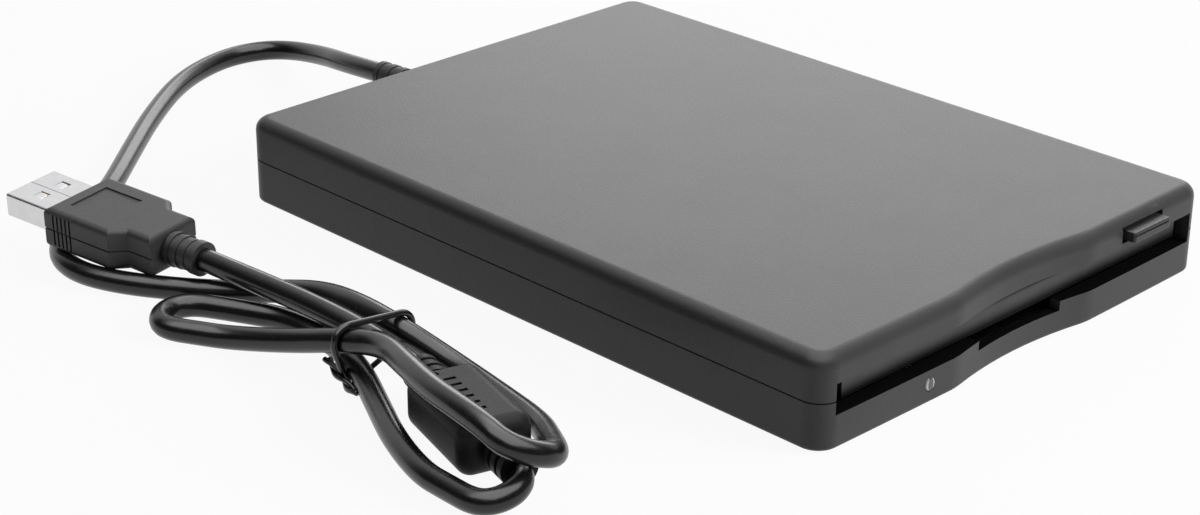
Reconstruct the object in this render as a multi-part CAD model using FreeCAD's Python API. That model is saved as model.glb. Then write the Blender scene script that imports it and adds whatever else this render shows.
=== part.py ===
import FreeCAD, Part
import math
import os

# External USB floppy disk drive, 3.5 inch, slim.
# Frame: +Z up, disk slot towards -Y, +X to the right when seen from the slot.
# The origin is at the middle of the underside of the drive, cord left out.
# Millimetres throughout.

V = FreeCAD.Vector

# ---------------------------------------------------------------- case
case_w = 102.0            # width over the side walls
case_d = 142.0            # depth, front crown to rear wall
roof_gap = 0.4            # between the top shield and the top panel
foot_h = 0.6              # how far the feet stand out below the case
part_z = 9.0              # height of the parting line
corner_r = 4.0            # upright corners
top_edge_r = 2.4          # rounding round the top
bottom_edge_r = 0.8       # rounding round the underside
wall = 1.8                # side and rear walls
front_wall = 3.2          # front wall at its thickest
top_t = 1.6               # top panel
floor_t = 1.4             # bottom panel
crown_drop = 0.4          # how far the front falls back at the corners
recess_half = 17.6        # half the width of the finger recess in the front
recess_deep = 1.85        # its depth in the middle
recess_blend_r = 14.0     # rounding at the ends of the recess
seam_gap = 0.24           # height of the groove at the parting line
seam_deep = 0.25          # depth of that groove
lip_t = 0.85              # lap lip of the bottom shell
lip_h = 1.0
lip_gap = 0.1             # clearance round the lip
lip_start = 4.0           # from the end walls of the throat to the lip

# disk opening in the front
throat_end = 1.7          # from the inside of each side wall to the end of the opening
slot_under = 0.75         # lower lip, below a disk on its way in
slot_over = 1.4           # band above the opening, above that disk
throat_deep = 5.2         # depth of the end walls
notch_half = 11.0         # finger notch in the lower lip
notch_deep = 1.75         # below the lower lip

# eject button and its window
window_w = 12.0
window_from_end = 9.1     # from the end of the opening
window_under = 0.6        # below the slide plate
window_h = 2.9
button_gap_left = 1.0
button_gap_right = 0.5
button_h = 1.9
button_under = 0.35      # under the button in its window
button_out = 1.8          # how far the button stands out at rest
button_travel = 6.0       # how far it comes out when a disk seats
button_len = 12.4
button_groove = 0.3

# activity light
led_from_end = 22.8       # from the left end of the opening
led_up = 2.1              # above the bottom panel
led_r = 1.2
led_gap = 0.05
lens_len = 5.0
lens_out = 0.15
lens_flange_r = 1.7
lamp_w = 2.4
lamp_len = 2.8
lamp_gap = 0.3            # between lens and lamp

# feet and screws
foot_r = 4.0
foot_in_x = 10.0          # from the side walls to the foot centres
foot_in_y = 17.0          # from the front and rear
foot_sunk = 0.4
case_screw_in_x = 7.0
case_screw_in_y = 6.5
case_boss_r = 3.2
case_boss_split = 4.4     # height where lower and upper bosses meet
case_screw_head_r = 2.0
case_screw_head_h = 1.2
case_screw_r = 0.8
case_screw_bite = 4.6     # above the split of the bosses
screw_gap = 0.05
head_gap = 0.2
snap_w = 8.0              # snap tabs of the top shell
snap_t = 1.0
snap_y = (-14.0, 32.0)
snap_deep = 3.0           # below the parting line
snap_nub = 0.45
snap_nub_h = 0.6
snap_gap = 0.2

# ---------------------------------------------------------------- mechanism
mech_side_gap = 1.7       # between chassis and side walls
mech_back = 5.5           # from the case front to the chassis
mech_before_rear = 9.2    # from the chassis to the rear wall
sheet = 0.6               # chassis floor
side_sheet = 0.7          # chassis walls
pad_h = 0.7               # pads of the case that carry the chassis
pad_r = 2.5
slide_headroom = 0.8      # above the slide plate
shield_t = 0.4
shield_back = 5.5         # behind the chassis front
shield_slot_r = 3.0
shield_slot_in = 19.5     # from the chassis sides
shield_slot_from = (50.0, 26.0)   # its ends, from the chassis rear
clip_len = 8.0
clip_h = 3.6
clip_t = 0.4
clip_from = (31.5, 22.0)          # from the chassis front and rear
chassis_screw_in = 4.3
chassis_screw_from = (25.5, 13.0)  # from the chassis front and rear
chassis_screw_r = 0.8
chassis_screw_head_r = 1.7
chassis_screw_head_h = 0.8
chassis_screw_deep = 1.5

# disk, which the cage and the spindle are made for
disk_gap = 0.3            # from the rotor up to a seated disk
disk_t = 3.3
disk_past_spindle = 46.0  # from the spindle to the disk's rear edge
seat_drop = 1.9           # how far the cage drops to seat it

# disk cage
cage_t = 0.5
cage_side_gap = 0.3       # beside the disk
cage_under_gap = 0.3      # below the disk
cage_over_gap = 0.6       # above the disk
cage_lip = 2.3
cage_back = 3.0           # behind the chassis front
cage_short = 1.0          # the cage stops short of the disk's rear edge
cage_cut_half = 10.0      # opening for the heads
cage_cut_before = 7.7     # in front of the heads at the innermost track
cage_pin_r = 0.8
cage_pin_from = (20.5, 13.0)      # from the chassis front, and from the disk's rear edge
cage_pin_up = 1.8         # above the underside of a raised disk
pin_gap = 0.2             # round each pin in its slot
fit_gap = 0.02            # round a pin in its fitted hole

# slide plate
slide_t = 0.5
slide_up = 1.5            # above the cage's roof
slide_back = 10.5         # behind the chassis front
slide_past_disk = 2.0
slide_flange_gap = 0.25   # between cage side, slide flange and chassis wall
slide_flange_drop = 3.2   # below the cage pins
slide_flange_before = 4.0
slide_flange_after = 6.0
slide_cut_half = 13.0
slide_cut_before = 1.0    # in front of the cage's opening
tongue_in_left = 2.1      # from the sides of the button
tongue_in_right = 1.9
tongue_back = 1.5         # behind the chassis front
peg_r = 1.0
guide_in = 2.2            # from the chassis walls
guide_behind = 1.0        # behind the spindle
guide_r = 0.7
guide_head_r = 1.3
guide_head_h = 0.4
slide_play = 0.1          # above and below the slide plate at its guides
guide_tab_len = 10.0
tab_t = 0.5

# eject springs
spring_in = 5.8           # from the chassis walls
spring_r = 0.8            # coil radius at the middle of the wire
spring_wire_r = 0.18
spring_turns = 16
spring_back = 7.5         # behind the chassis front
spring_len = 24.0         # from post to post
spring_hook = 3.0
spring_post_r = 0.45
spring_post_reach = 0.5   # how far each post passes the middle of its eye
spring_drop = 0.35        # from the slide plate's underside down to the spring's axis
spring_tab_gap = 0.35     # from the front tab up to the spring's axis
spring_bay_half = 1.4
spring_bay_spare = 0.5    # behind the end of the coil

# latch lever that the incoming disk pushes round
lever_x = -30.0
lever_behind = 12.0       # behind the disk
lever_arm = 22.0
lever_rest = -62.0        # degrees from +X
lever_swing = 30.0
lever_up = 0.5            # above the cage's roof
lever_t = 0.5
lever_half = 1.8
lever_pin_r = 1.0
lever_pin_up = 1.1        # above the underside of a raised disk
lever_pin_room = 0.8      # round the pin in the cage's roof
lever_bend = 105.0        # degrees between the long arm and the hook
lever_hook_len = 9.0
lever_post_r = 2.0
lever_neck_r = 1.0
lever_cap_r = 1.6
lever_cap_h = 0.3

# spindle motor, on its axis
track_r = 39.5            # from the spindle to the outermost track
rotor_r = 20.0
rotor_wall = 0.6
rotor_up = 0.25           # above the chassis' underside
rotor_room = 0.7          # above the core
rotor_roof_t = 0.4
magnet_t = 1.5
air_gap = 0.5
core_up = 0.6             # above the chassis' underside
core_t = 0.8
core_hub_r = 7.0
arm_w = 2.0
shoe_t = 2.4              # pole shoes, measured inwards
poles = 12
coil_w = 3.7
coil_in = 1.3             # from the core's hub to the coils
coil_out = 1.0            # from the coils to the pole shoes
coil_over = 0.4
bearing_r = 3.0
bearing_flange_r = 5.0
bearing_up = 0.5          # above the core
shaft_r = 1.25
shaft_up = 0.1            # above the chassis' underside
shaft_past = 1.4          # above the underside of a seated disk
hub_r = 12.5
hub_t = 0.4
hub_boss_r = 2.0
hub_boss_h = 1.0
drive_pin_at = 9.0
drive_pin_r = 1.2
drive_pin_h = 0.9
well_gap = 2.0            # round the rotor, in the chassis floor
motor_board_past = 4.0    # beyond that opening
motor_board_front = 29.0  # from the spindle
motor_board_rear = 26.0
board_t = 0.5
motor_window_half = 12.0
motor_window_in = 1.0
motor_chip = (7.0, 5.0, 1.0)
motor_screw_in_x = 2.0
motor_screw_in_y = 3.0
motor_screw_r = 0.7
motor_screw_head_r = 1.3
motor_screw_head_h = 0.5

# head carriage and its rails
rod_x = 10.5
rod_up = 1.1              # above the chassis floor
rod_r = 0.9
rail_x = -11.0
rail_r = 0.8
rod_spare_front = 4.7     # rod left beyond the carriage at each end of its travel
rod_spare_rear = 3.0
cradle_len = 3.0
cradle_half = 1.8
cradle_up = 0.6           # above the rods' axes
bush_r = 1.75
bush_gap = 0.1
carriage_len = 6.5
carriage_half = 8.0
carriage_under = 0.8      # below the rods' axes
carriage_below_arm = 0.8
arm_half = 5.0
arm_past_head = 3.0
lower_arm_under = 0.1     # below the rods' axes
lower_arm_t = 0.8
rail_shoe = 2.4
head_reach = 22.0         # from the carriage to the heads
head_travel = 14.8
head_half = 2.5
film_up = 1.55            # from the seated disk's underside up to its film
head_clear = 0.05
upper_arm_up = 2.35       # above the disk's film
upper_arm_t = 0.6
upper_arm_gap = 0.6
upper_pin_r = 0.5
hinge_r = 1.2             # hub of the upper arm
hinge_gap = 0.4           # round that hub
hinge_room = 1.0          # below the arm in front of the hub
upper_lift = 8.5          # degrees that the upper arm is raised at rest
well_carriage_x = (-14.0, 13.0)   # floor opening under the carriage
well_carriage_rear = 2.8  # beyond the carriage
flag_x = 16.5
flag_t = 0.6
flag_from = 2.5           # from the carriage's front
flag_len = 3.0
flag_h = 2.2
flag_arm_up = 0.1         # above the carriage
flag_arm_t = 0.6
sensor_half = 2.4
sensor_slot_half = 0.8
sensor_from = 2.0         # from the carriage's front
sensor_len = 4.0
sensor_under = 0.3        # below the top of the carriage
sensor_base = 2.0

# stepper and lead screw
screw_x = -20.0
screw_up = 5.1            # above the chassis floor
screw_r = 1.0
screw_spare = 1.9         # lead screw left beyond the follower
stepper_r = 5.0
stepper_len = 10.0
bracket_t = 0.8
bracket_half = 6.0
bracket_foot = 5.0
bracket_foot_w = 2.5
bracket_up = 4.5          # plate above the screw's axis
bearing_block_half = 2.0
bearing_block_len = 1.6
follower_from = 2.0       # from the carriage's front
follower_len = 3.0
follower_t = 1.6

# boards and wiring
control_gap = 2.1         # beside the track sensor
control_in = 0.8          # from the chassis wall
control_len = 28.0
control_before_rear = 2.0
control_up = 1.4          # above the chassis floor
control_t = 0.8
post_r = 1.5
bridge_in = 13.2          # from the side walls to its ends
bridge_len = 6.2
bridge_before_rear = 1.8  # from the rear wall
bridge_up = 2.0           # above the bottom panel
bridge_post_in = 4.0
bridge_more = 4.0         # more of the board on the ribbon's side
ribbon_in_left = 1.0      # from the sides of the control board
ribbon_in_right = 9.0
ribbon_t = 0.3
ribbon_rise = 0.9
connector_len = 3.2
connector_h = 2.0
control_chip = (12.0, 14.0, 10.0, 1.2)     # from the board's corner, side, height
data_chip = (7.0, 4.5, 6.0, 1.0)
bridge_chip = (-14.0, 5.6, 1.0)            # x, side, height
crystal = (2.5, 7.0, 2.6, 2.0)             # x, length, width, height
bridge_capacitors = (12.0, 17.0)           # x of each
control_capacitor = (5.5, 6.0)             # from its far side and front
capacitor_r = 1.6
capacitor_h = 2.2
led_board_w = 7.0
led_board_len = 8.0
led_board_t = 0.6

# disk sensing switches
switch_in = 4.5           # from the side of the disk
switch_from = ((-1, 7.5), (1, 7.5), (-1, 15.5))   # side, distance behind the chassis front
switch_half = 2.0
switch_h = 1.8
plunger_r = 0.8
plunger_travel = 1.0
plunger_free = 0.1        # above a pressed plunger, up to the seated disk
plunger_grip = 0.7        # how much of it stays in the body when it is up
plunger_gap = 0.1

# dust flap behind the opening
flap_end_gap = 2.8        # from the ends of the opening
flap_back = 2.25          # from the case front to the middle of the flap
flap_t = 0.9
flap_hinge_under = 0.6    # below the band above the opening
flap_over_lip = 1.3       # above the lower lip
flap_pin_r = 0.35
flap_pin_gap = 0.1
flap_pin_bite = 1.1
flap_spring_r = 0.47
flap_spring_wire_r = 0.07
flap_spring_turns = 7
flap_spring_pitch = 0.25

# ---------------------------------------------------------------- cord
cord_r = 2.05
cord_exit_x = -4.0
relief_len = 17.0
relief_r = 3.1
relief_neck_r = 2.7
relief_flange_r = 4.2
relief_flange_t = 1.0
relief_rib = 1.3
relief_ribs = 5
relief_wall = 0.35        # round the cord at the tail's end
relief_collar = 1.2
lead_r = 0.4
lead_pitch = 1.0

# plug
plug_at = (-88.0, 72.4, 8.45)   # middle of the moulding's front face
plug_turn = 9.5                 # degrees, about Z
plug_pitch = 2.3                # degrees, nose up
plug_roll = 3.0                 # degrees about the cord, side nearer the case up
plug_w = 16.0
plug_h = 7.8
plug_len = 15.5
plug_taper = 2.5
plug_rear_w = 11.2
plug_rear_len = 5.5
plug_relief_len = 7.2
plug_relief_r = 3.2
plug_edge_r = 1.2
plug_relief_wall = 0.6    # round the cord at the tail's end
plug_relief_ribs = 3
plug_rib = 0.9
plug_rib_gap = 0.9
plug_collar = 1.6
plug_seam_w = 0.3         # parting groove along both long sides
plug_seam_deep = 0.25
relief_step = 0.2         # how far ribs stand out of a tail
panel_x0 = 3.0            # shallow panel on the plug's top
panel_x1 = 12.0
panel_half = 4.4
panel_deep = 0.25
grips = 5                 # grip grooves on each side of the plug
grip_w = 0.45
grip_deep = 0.3
grip_pitch = 1.0
grip_start = 2.0
grip_margin = 0.9
shell_w = 12.0
shell_h = 4.5
shell_t = 0.3
shell_len = 11.8
shell_inside = 4.0
shell_r = 0.5
shell_window = 2.2        # square latch windows, top and bottom
shell_window_x = 6.3
shell_window_y = 2.5
tongue_t = 1.9
tongue_w = 11.0
contact_w = 1.0
contact_t = 0.15
contact_len = 7.4
contact_x = (-3.5, -1.0, 1.0, 3.5)

# noise choke on the cord
choke_at = (-86.2, -29.6, 4.75)
choke_dir = (-0.29, -0.957)
choke_len = 22.0
choke_w = 12.6
choke_h = 9.0
choke_edge_r = 2.6
choke_relief_len = 7.0
choke_relief_r = 3.2
choke_relief_ribs = 3
choke_rib = 1.4
choke_rib_gap = 0.9
choke_rib_step = 0.6      # how far its ribs stand out of each tail
choke_grooves = 6         # short cross grooves on top
choke_groove_w = 0.8
choke_groove_pitch = 2.2
choke_groove_x = -6.0
choke_groove_y0 = -4.0
choke_groove_y1 = 0.5
choke_groove_deep = 0.35
choke_mark_r = 0.7        # round dimple beside them
choke_mark_x = -8.0
choke_mark_deep = 0.8

# twist tie round the hank
tie_y = -0.3
tie_w = 1.6
tie_t = 0.5
tie_gap = 0.12

# Route of the cord's centreline, from the strain relief to the plug.
cord_route = [
    (-4, 88, 9), (-3.2, 99.5, 7.8), (1, 113.7, 5), (1.5, 126, 2.9),
    (-2.9, 132.2, 2.05), (-12.2, 132.8, 2.05), (-25.8, 127.7, 2.05), (-41.6, 115.6, 2.05),
    (-56, 102.5, 2.05), (-71.1, 88.5, 2.05), (-82.6, 80.7, 2.05), (-89.6, 76.1, 2.05),
    (-94.3, 69.7, 2.05), (-95.4, 61.9, 2.05), (-92.5, 53.4, 2.05), (-87, 44.6, 2.05),
    (-81, 37.2, 2.05), (-75.1, 30.5, 2.6), (-73.4, 21.1, 5), (-74.5, 9.9, 6.6),
    (-75.4, -0.9, 6.6), (-72.8, -9.2, 3.2), (-73.8, -23.4, 2.05), (-77.3, -36.2, 3.2),
    (-82.4, -44.2, 4.9), (-86.1, -49.2, 6.3), (-89.3, -50.4, 7.7), (-92.7, -49.3, 9.1),
    (-94.7, -46.5, 10.4), (-94.4, -42.7, 11.3), (-93.6, -36.1, 11.7), (-91.8, -27.2, 11.3),
    (-88.7, -18.4, 10.6), (-84.2, -7.5, 9), (-86.5, 1, 7.5), (-88.6, 10.7, 4.6),
    (-92, 22.7, 2.05), (-94.9, 28.1, 2.05), (-97.4, 32.9, 2.05), (-96.9, 36.1, 2.05),
    (-94.6, 38.5, 2.05), (-91.4, 39, 2.05), (-88.5, 37.5, 2.05), (-86.1, 33.1, 2.05),
    (-83.6, 28, 2.05), (-81.4, 23.4, 2.05), (-80.7, 15.4, 2.3), (-82.6, 6, 2.95),
    (-85, -2.5, 2.5), (-90.1, -12.5, 2.05), (-95.7, -23.2, 2.05), (-99.5, -33.9, 2.05),
    (-99.7, -40, 2.05), (-100, -46.3, 2.2), (-97.9, -48.9, 2.7), (-94.5, -49.5, 3.4),
    (-91.6, -47.7, 4.1), (-90.1, -42.5, 4.6), (-87.8, -34.3, 4.7), (-84.9, -24.8, 4.8),
    (-81.5, -14.3, 4.9), (-80.3, 0.5, 6.3), (-80.6, 13.5, 6.9), (-81.4, 27, 6.9),
    (-82.94, 42.15, 7.22),
]

# ---------------------------------------------------------------- derived heights and places
# Across: the chassis fits between the side walls, and cage and disk fit in the chassis.
case_x = case_w / 2
inner_x = case_x - wall
slot_half = inner_x - throat_end
window_x1 = slot_half - window_from_end
window_x0 = window_x1 - window_w
button_x0 = window_x0 + button_gap_left
button_x1 = window_x1 - button_gap_right
tongue_x0 = button_x0 + tongue_in_left
tongue_x1 = button_x1 - tongue_in_right
led_x = -(slot_half - led_from_end)
foot_x = case_x - foot_in_x
case_screw_x = case_x - case_screw_in_x
mech_half = inner_x - mech_side_gap
mech_inner = mech_half - side_sheet
chassis_screw_x = mech_half - chassis_screw_in
slide_flange_out = mech_inner - slide_flange_gap
slide_flange_in = slide_flange_out - slide_t
cage_half = slide_flange_in - slide_flange_gap
cage_half_in = cage_half - cage_t
disk_half = cage_half_in - cage_side_gap
guide_x = mech_inner - guide_in
spring_x = mech_inner - spring_in
switch_x = disk_half - switch_in
flap_half = slot_half - flap_end_gap
control_x1 = mech_inner - control_in
control_x0 = flag_x + sensor_half + control_gap
ribbon_x0 = control_x0 + ribbon_in_left
ribbon_x1 = control_x1 - ribbon_in_right
bridge_half = inner_x - bridge_in
bridge_post_x = bridge_half - bridge_post_in

# Along: button, opening and cage follow the case front, and the motors follow its rear.
case_y = case_d / 2
origin_shift = button_out / 2          # the button tip and the rear wall share the middle
button_front = -case_y - button_out
inner_front = -(case_y - front_wall)
inner_rear = case_y - wall
throat_rear = -case_y + throat_deep
flap_y = -case_y + flap_back
foot_y = case_y - foot_in_y
case_screw_y = case_y - case_screw_in_y
bridge_y1 = inner_rear - bridge_before_rear
bridge_y0 = bridge_y1 - bridge_len
bridge_y = (bridge_y0 + bridge_y1) / 2
mech_front = -case_y + mech_back
mech_rear = inner_rear - mech_before_rear
stepper_y1 = mech_rear
stepper_y0 = stepper_y1 - stepper_len
carriage_y1 = stepper_y0
carriage_y0 = carriage_y1 - carriage_len
follower_y0 = carriage_y0 + follower_from
follower_y1 = follower_y0 + follower_len
flag_y0 = carriage_y0 + flag_from
flag_y1 = flag_y0 + flag_len
sensor_y0 = carriage_y0 + sensor_from
sensor_y1 = sensor_y0 + sensor_len
rod_front = carriage_y0 - head_travel - rod_spare_front - cradle_len
rod_rear = carriage_y1 + rod_spare_rear + cradle_len
screw_front = follower_y0 - head_travel - screw_spare
head_y = carriage_y0 - head_reach      # head centre at the outermost track
lower_arm_y0 = head_y - arm_past_head
spindle_y = head_y - track_r
disk_rear = spindle_y + disk_past_spindle
cage_front = mech_front + cage_back
cage_rear = disk_rear - cage_short
cage_cut_front = head_y - head_travel - cage_cut_before
cage_pin_y = (mech_front + cage_pin_from[0], disk_rear - cage_pin_from[1])
slide_front = mech_front + slide_back
slide_rear = disk_rear + slide_past_disk
slide_cut_front = cage_cut_front - slide_cut_before
tongue_front = mech_front + tongue_back
guide_y = spindle_y + guide_behind
spring_front = mech_front + spring_back
spring_rear = spring_front + spring_len
lever_y = disk_rear + lever_behind
shield_front = mech_front + shield_back
clip_y = (mech_front + clip_from[0], mech_rear - clip_from[1])
chassis_screw_y = (mech_front + chassis_screw_from[0], mech_rear - chassis_screw_from[1])
switch_spots = [(side, mech_front + back) for side, back in switch_from]
well_r = rotor_r + well_gap
motor_board_half = well_r + motor_board_past
motor_board_y0 = spindle_y - motor_board_front
motor_board_y1 = spindle_y + motor_board_rear
motor_window_y0 = motor_board_y0 + motor_window_in
motor_screw_x = motor_board_half - motor_screw_in_x
motor_screw_y = (motor_board_y0 + motor_screw_in_y, motor_board_y1 - motor_screw_in_y)
control_y1 = mech_rear - control_before_rear
control_y0 = control_y1 - control_len

# Round the spindle
core_out_r = rotor_r - rotor_wall - magnet_t - air_gap
tip_r = core_out_r - shoe_t
coil_r0 = core_hub_r + coil_in
coil_r1 = tip_r - coil_out

# Upwards: feet, case floor, chassis, motor, disk, cage, slide plate, shield, top panel.
low_z = foot_h
floor_z = low_z + floor_t
chassis_low = floor_z + pad_h
deck_z = chassis_low + sheet
board_low = chassis_low - board_t
core_low = chassis_low + core_up
core_high = core_low + core_t
bearing_high = core_high + bearing_up
rotor_low = chassis_low + rotor_up
rotor_roof = core_high + rotor_room
rotor_top = rotor_roof + rotor_roof_t
disk_low = rotor_top + disk_gap        # underside of a seated disk
shaft_low = chassis_low + shaft_up
shaft_high = disk_low + shaft_past
disk_up_low = disk_low + seat_drop
cage_floor_z = disk_up_low - cage_under_gap
cage_roof_z = disk_up_low + disk_t + cage_over_gap
cage_top = cage_roof_z + cage_t
cage_pin_z = disk_up_low + cage_pin_up
lever_low = cage_top + lever_up
lever_pin_low = disk_up_low + lever_pin_up
slide_low = cage_top + slide_up
slide_high = slide_low + slide_t
slide_flange_low = cage_pin_z - slide_flange_drop
spring_z = slide_low - spring_drop
spring_tab_z = spring_z - spring_tab_gap
chassis_top = slide_high + slide_headroom
clip_low = chassis_top - clip_h
roof_z = chassis_top + shield_t + roof_gap
high_z = roof_z + top_t
slot_low = disk_up_low - slot_under
slot_high = disk_up_low + disk_t + slot_over
notch_low = slot_low - notch_deep
window_z0 = slide_low - window_under
window_z1 = window_z0 + window_h
flap_hinge_z = slot_high - flap_hinge_under
flap_low = slot_low + flap_over_lip
led_z = floor_z + led_up
case_screw_top = case_boss_split + case_screw_bite
snap_low = part_z - snap_deep
plunger_top = disk_low + plunger_travel + plunger_free
head_plane = disk_low + film_up
rod_z = deck_z + rod_up
cradle_top = rod_z + cradle_up
carriage_low = rod_z - carriage_under
lower_arm_low = rod_z - lower_arm_under
upper_arm_z = head_plane + upper_arm_up
carriage_high = upper_arm_z - carriage_below_arm
flag_arm_low = carriage_high + flag_arm_up
flag_low = flag_arm_low - flag_h
sensor_high = carriage_high - sensor_under
screw_z = deck_z + screw_up
control_z = deck_z + control_up
control_top = control_z + control_t
bridge_z = floor_z + bridge_up
bridge_top = bridge_z + control_t


def box(x0, x1, y0, y1, z0, z1):
    return Part.makeBox(x1 - x0, y1 - y0, z1 - z0, V(x0, y0, z0))


def post(r, x, y, z0, z1):
    return Part.makeCylinder(r, z1 - z0, V(x, y, z0))


def rod(r, x0, x1, y, z):
    """Round bar along X."""
    return Part.makeCylinder(r, x1 - x0, V(x0, y, z), V(1, 0, 0))


def bar(r, x, z, y0, y1):
    """Round bar along Y."""
    return Part.makeCylinder(r, y1 - y0, V(x, y0, z), V(0, 1, 0))


def tube(r_out, r_in, x, y, z0, z1):
    return post(r_out, x, y, z0, z1).cut(post(r_in, x, y, z0 - 1, z1 + 1))


def join(shapes):
    return shapes[0].fuse(list(shapes[1:])).removeSplitter()


def remove(shape, tools):
    return shape.cut(list(tools))


def plate(points, z0, z1):
    face = Part.Face(Part.makePolygon([V(x, y, z0) for x, y in points + [points[0]]]))
    return face.extrude(V(0, 0, z1 - z0))


def rounded_box(x0, x1, y0, y1, z0, z1, r):
    """Box with rounded upright edges."""
    body = box(x0, x1, y0, y1, z0, z1)
    return body.makeFillet(r, [e for e in body.Edges if is_upright(e)])


def is_upright(edge):
    a, b = edge.Vertexes[0].Point, edge.Vertexes[-1].Point
    return abs(a.x - b.x) < 1e-6 and abs(a.y - b.y) < 1e-6 and abs(a.z - b.z) > 1e-6


def slot_x(r, x0, x1, y0, z0, y1, z1):
    """Slot with round ends, cut along X, from one pin place to the other."""
    run = V(0, y1 - y0, z1 - z0)
    side = V(0, -run.z, run.y).normalize() * r
    a, b = V(x0, y0, z0), V(x0, y1, z1)
    points = [a + side, b + side, b - side, a - side, a + side]
    bridge = Part.Face(Part.makePolygon(points)).extrude(V(x1 - x0, 0, 0))
    return join([bridge, rod(r, x0, x1, y0, z0), rod(r, x0, x1, y1, z1)])


def slot_z(r, x, y0, y1, z0, z1):
    """Slot with round ends along Y, cut along Z."""
    return join([box(x - r, x + r, y0, y1, z0, z1), post(r, x, y0, z0, z1), post(r, x, y1, z0, z1)])


def both_sides(shape):
    return [shape, shape.mirror(V(0, 0, 0), V(1, 0, 0))]


def sweep_round(path, r):
    """Round tube along a wire of tangent edges."""
    start = path.Edges[0]
    at = start.valueAt(start.FirstParameter)
    along = start.tangentAt(start.FirstParameter)
    ring = Part.Wire(Part.makeCircle(r, at, along))
    return path.makePipeShell([ring], True, False)


# ---------------------------------------------------------------- case shells
def front_y(x):
    """Front face of the case without the finger recess."""
    half = case_x - corner_r
    return -case_y + crown_drop * (x / half) ** 2


def case_block():
    """The two shells as one closed block, rounded all over."""
    half, top = case_x, high_z
    recess_y = -case_y + recess_deep
    left, right = V(-half, front_y(half), low_z), V(half, front_y(half), low_z)
    bite_l, bite_r = (V(s * recess_half, front_y(recess_half), low_z) for s in (-1, 1))
    crown_mid = (case_x + recess_half) / 2
    edges = [
        Part.LineSegment(V(half, case_y, low_z), V(-half, case_y, low_z)).toShape(),
        Part.LineSegment(V(-half, case_y, low_z), left).toShape(),
        Part.Arc(left, V(-crown_mid, front_y(crown_mid), low_z), bite_l).toShape(),
        Part.Arc(bite_l, V(0, recess_y, low_z), bite_r).toShape(),
        Part.Arc(bite_r, V(crown_mid, front_y(crown_mid), low_z), right).toShape(),
        Part.LineSegment(right, V(half, case_y, low_z)).toShape(),
    ]
    block = Part.Face(Part.Wire(edges)).extrude(V(0, 0, top - low_z))
    upright = [e for e in block.Edges if is_upright(e)]
    corners = [e for e in upright if abs(e.Vertexes[0].X) > recess_half + 1]
    bites = [e for e in upright if abs(e.Vertexes[0].X) < recess_half + 1]
    block = block.makeFillet(recess_blend_r, bites)
    upright = [e for e in block.Edges if is_upright(e)]
    corners = [e for e in upright if abs(e.Vertexes[0].X) > case_x - 1e-3]
    block = block.makeFillet(corner_r, corners)
    rim = [e for e in block.Edges if min(v.Z for v in e.Vertexes) > top - 1e-6]
    block = block.makeFillet(top_edge_r, rim)
    sole = [e for e in block.Edges if max(v.Z for v in e.Vertexes) < low_z + 1e-6]
    return block.makeFillet(bottom_edge_r, sole)


def inner_plan(grow, z0, z1):
    """The inside of the side and rear walls, grown outwards by a distance."""
    r = corner_r - wall + grow
    return rounded_box(-inner_x - grow, inner_x + grow, inner_front, inner_rear + grow, z0, z1, r)


def hollow():
    wide = inner_plan(0, floor_z, roof_z)
    ribs = both_sides(box(slot_half, inner_x + 1, inner_front - 1, throat_rear, floor_z, roof_z))
    return remove(wide, ribs)


def seam_groove(block):
    plan = Part.Face(block.slice(V(0, 0, 1), part_z)[0])
    inner = plan.makeOffset2D(-seam_deep)
    groove = plan.extrude(V(0, 0, seam_gap)).cut(inner.extrude(V(0, 0, seam_gap)))
    groove.translate(V(0, 0, -seam_gap / 2))
    return groove


def lip_ring(out, z0, z1):
    ring = inner_plan(out, z0, z1).cut(inner_plan(0, z0 - 1, z1 + 1))
    front = box(-case_x, case_x, -case_y - 1, throat_rear + lip_start + lip_t - out, z0 - 1, z1 + 1)
    return ring.cut(front)


def relief_hole():
    return bar(relief_neck_r, cord_exit_x, part_z, inner_rear - 1, case_y + 1)


def foot_places():
    return [(sx * foot_x, sy * foot_y) for sx in (-1, 1) for sy in (-1, 1)]


def chassis_screw_places():
    return [(sx * chassis_screw_x, y) for sx in (-1, 1) for y in chassis_screw_y]


def snap_boxes(gap):
    """Snap tabs of the top shell with their nubs, or the room for them."""
    out = []
    for y in snap_y:
        half = snap_w / 2 + gap
        x0 = inner_x - snap_t - gap
        low = snap_low - gap
        tab = box(x0, inner_x, y - half, y + half, low, part_z + lip_h + 2)
        nub = box(inner_x - gap, inner_x + snap_nub + gap, y - half, y + half,
                  low, snap_low + snap_nub_h + gap)
        out += both_sides(join([tab, nub]))
    return out


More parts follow.
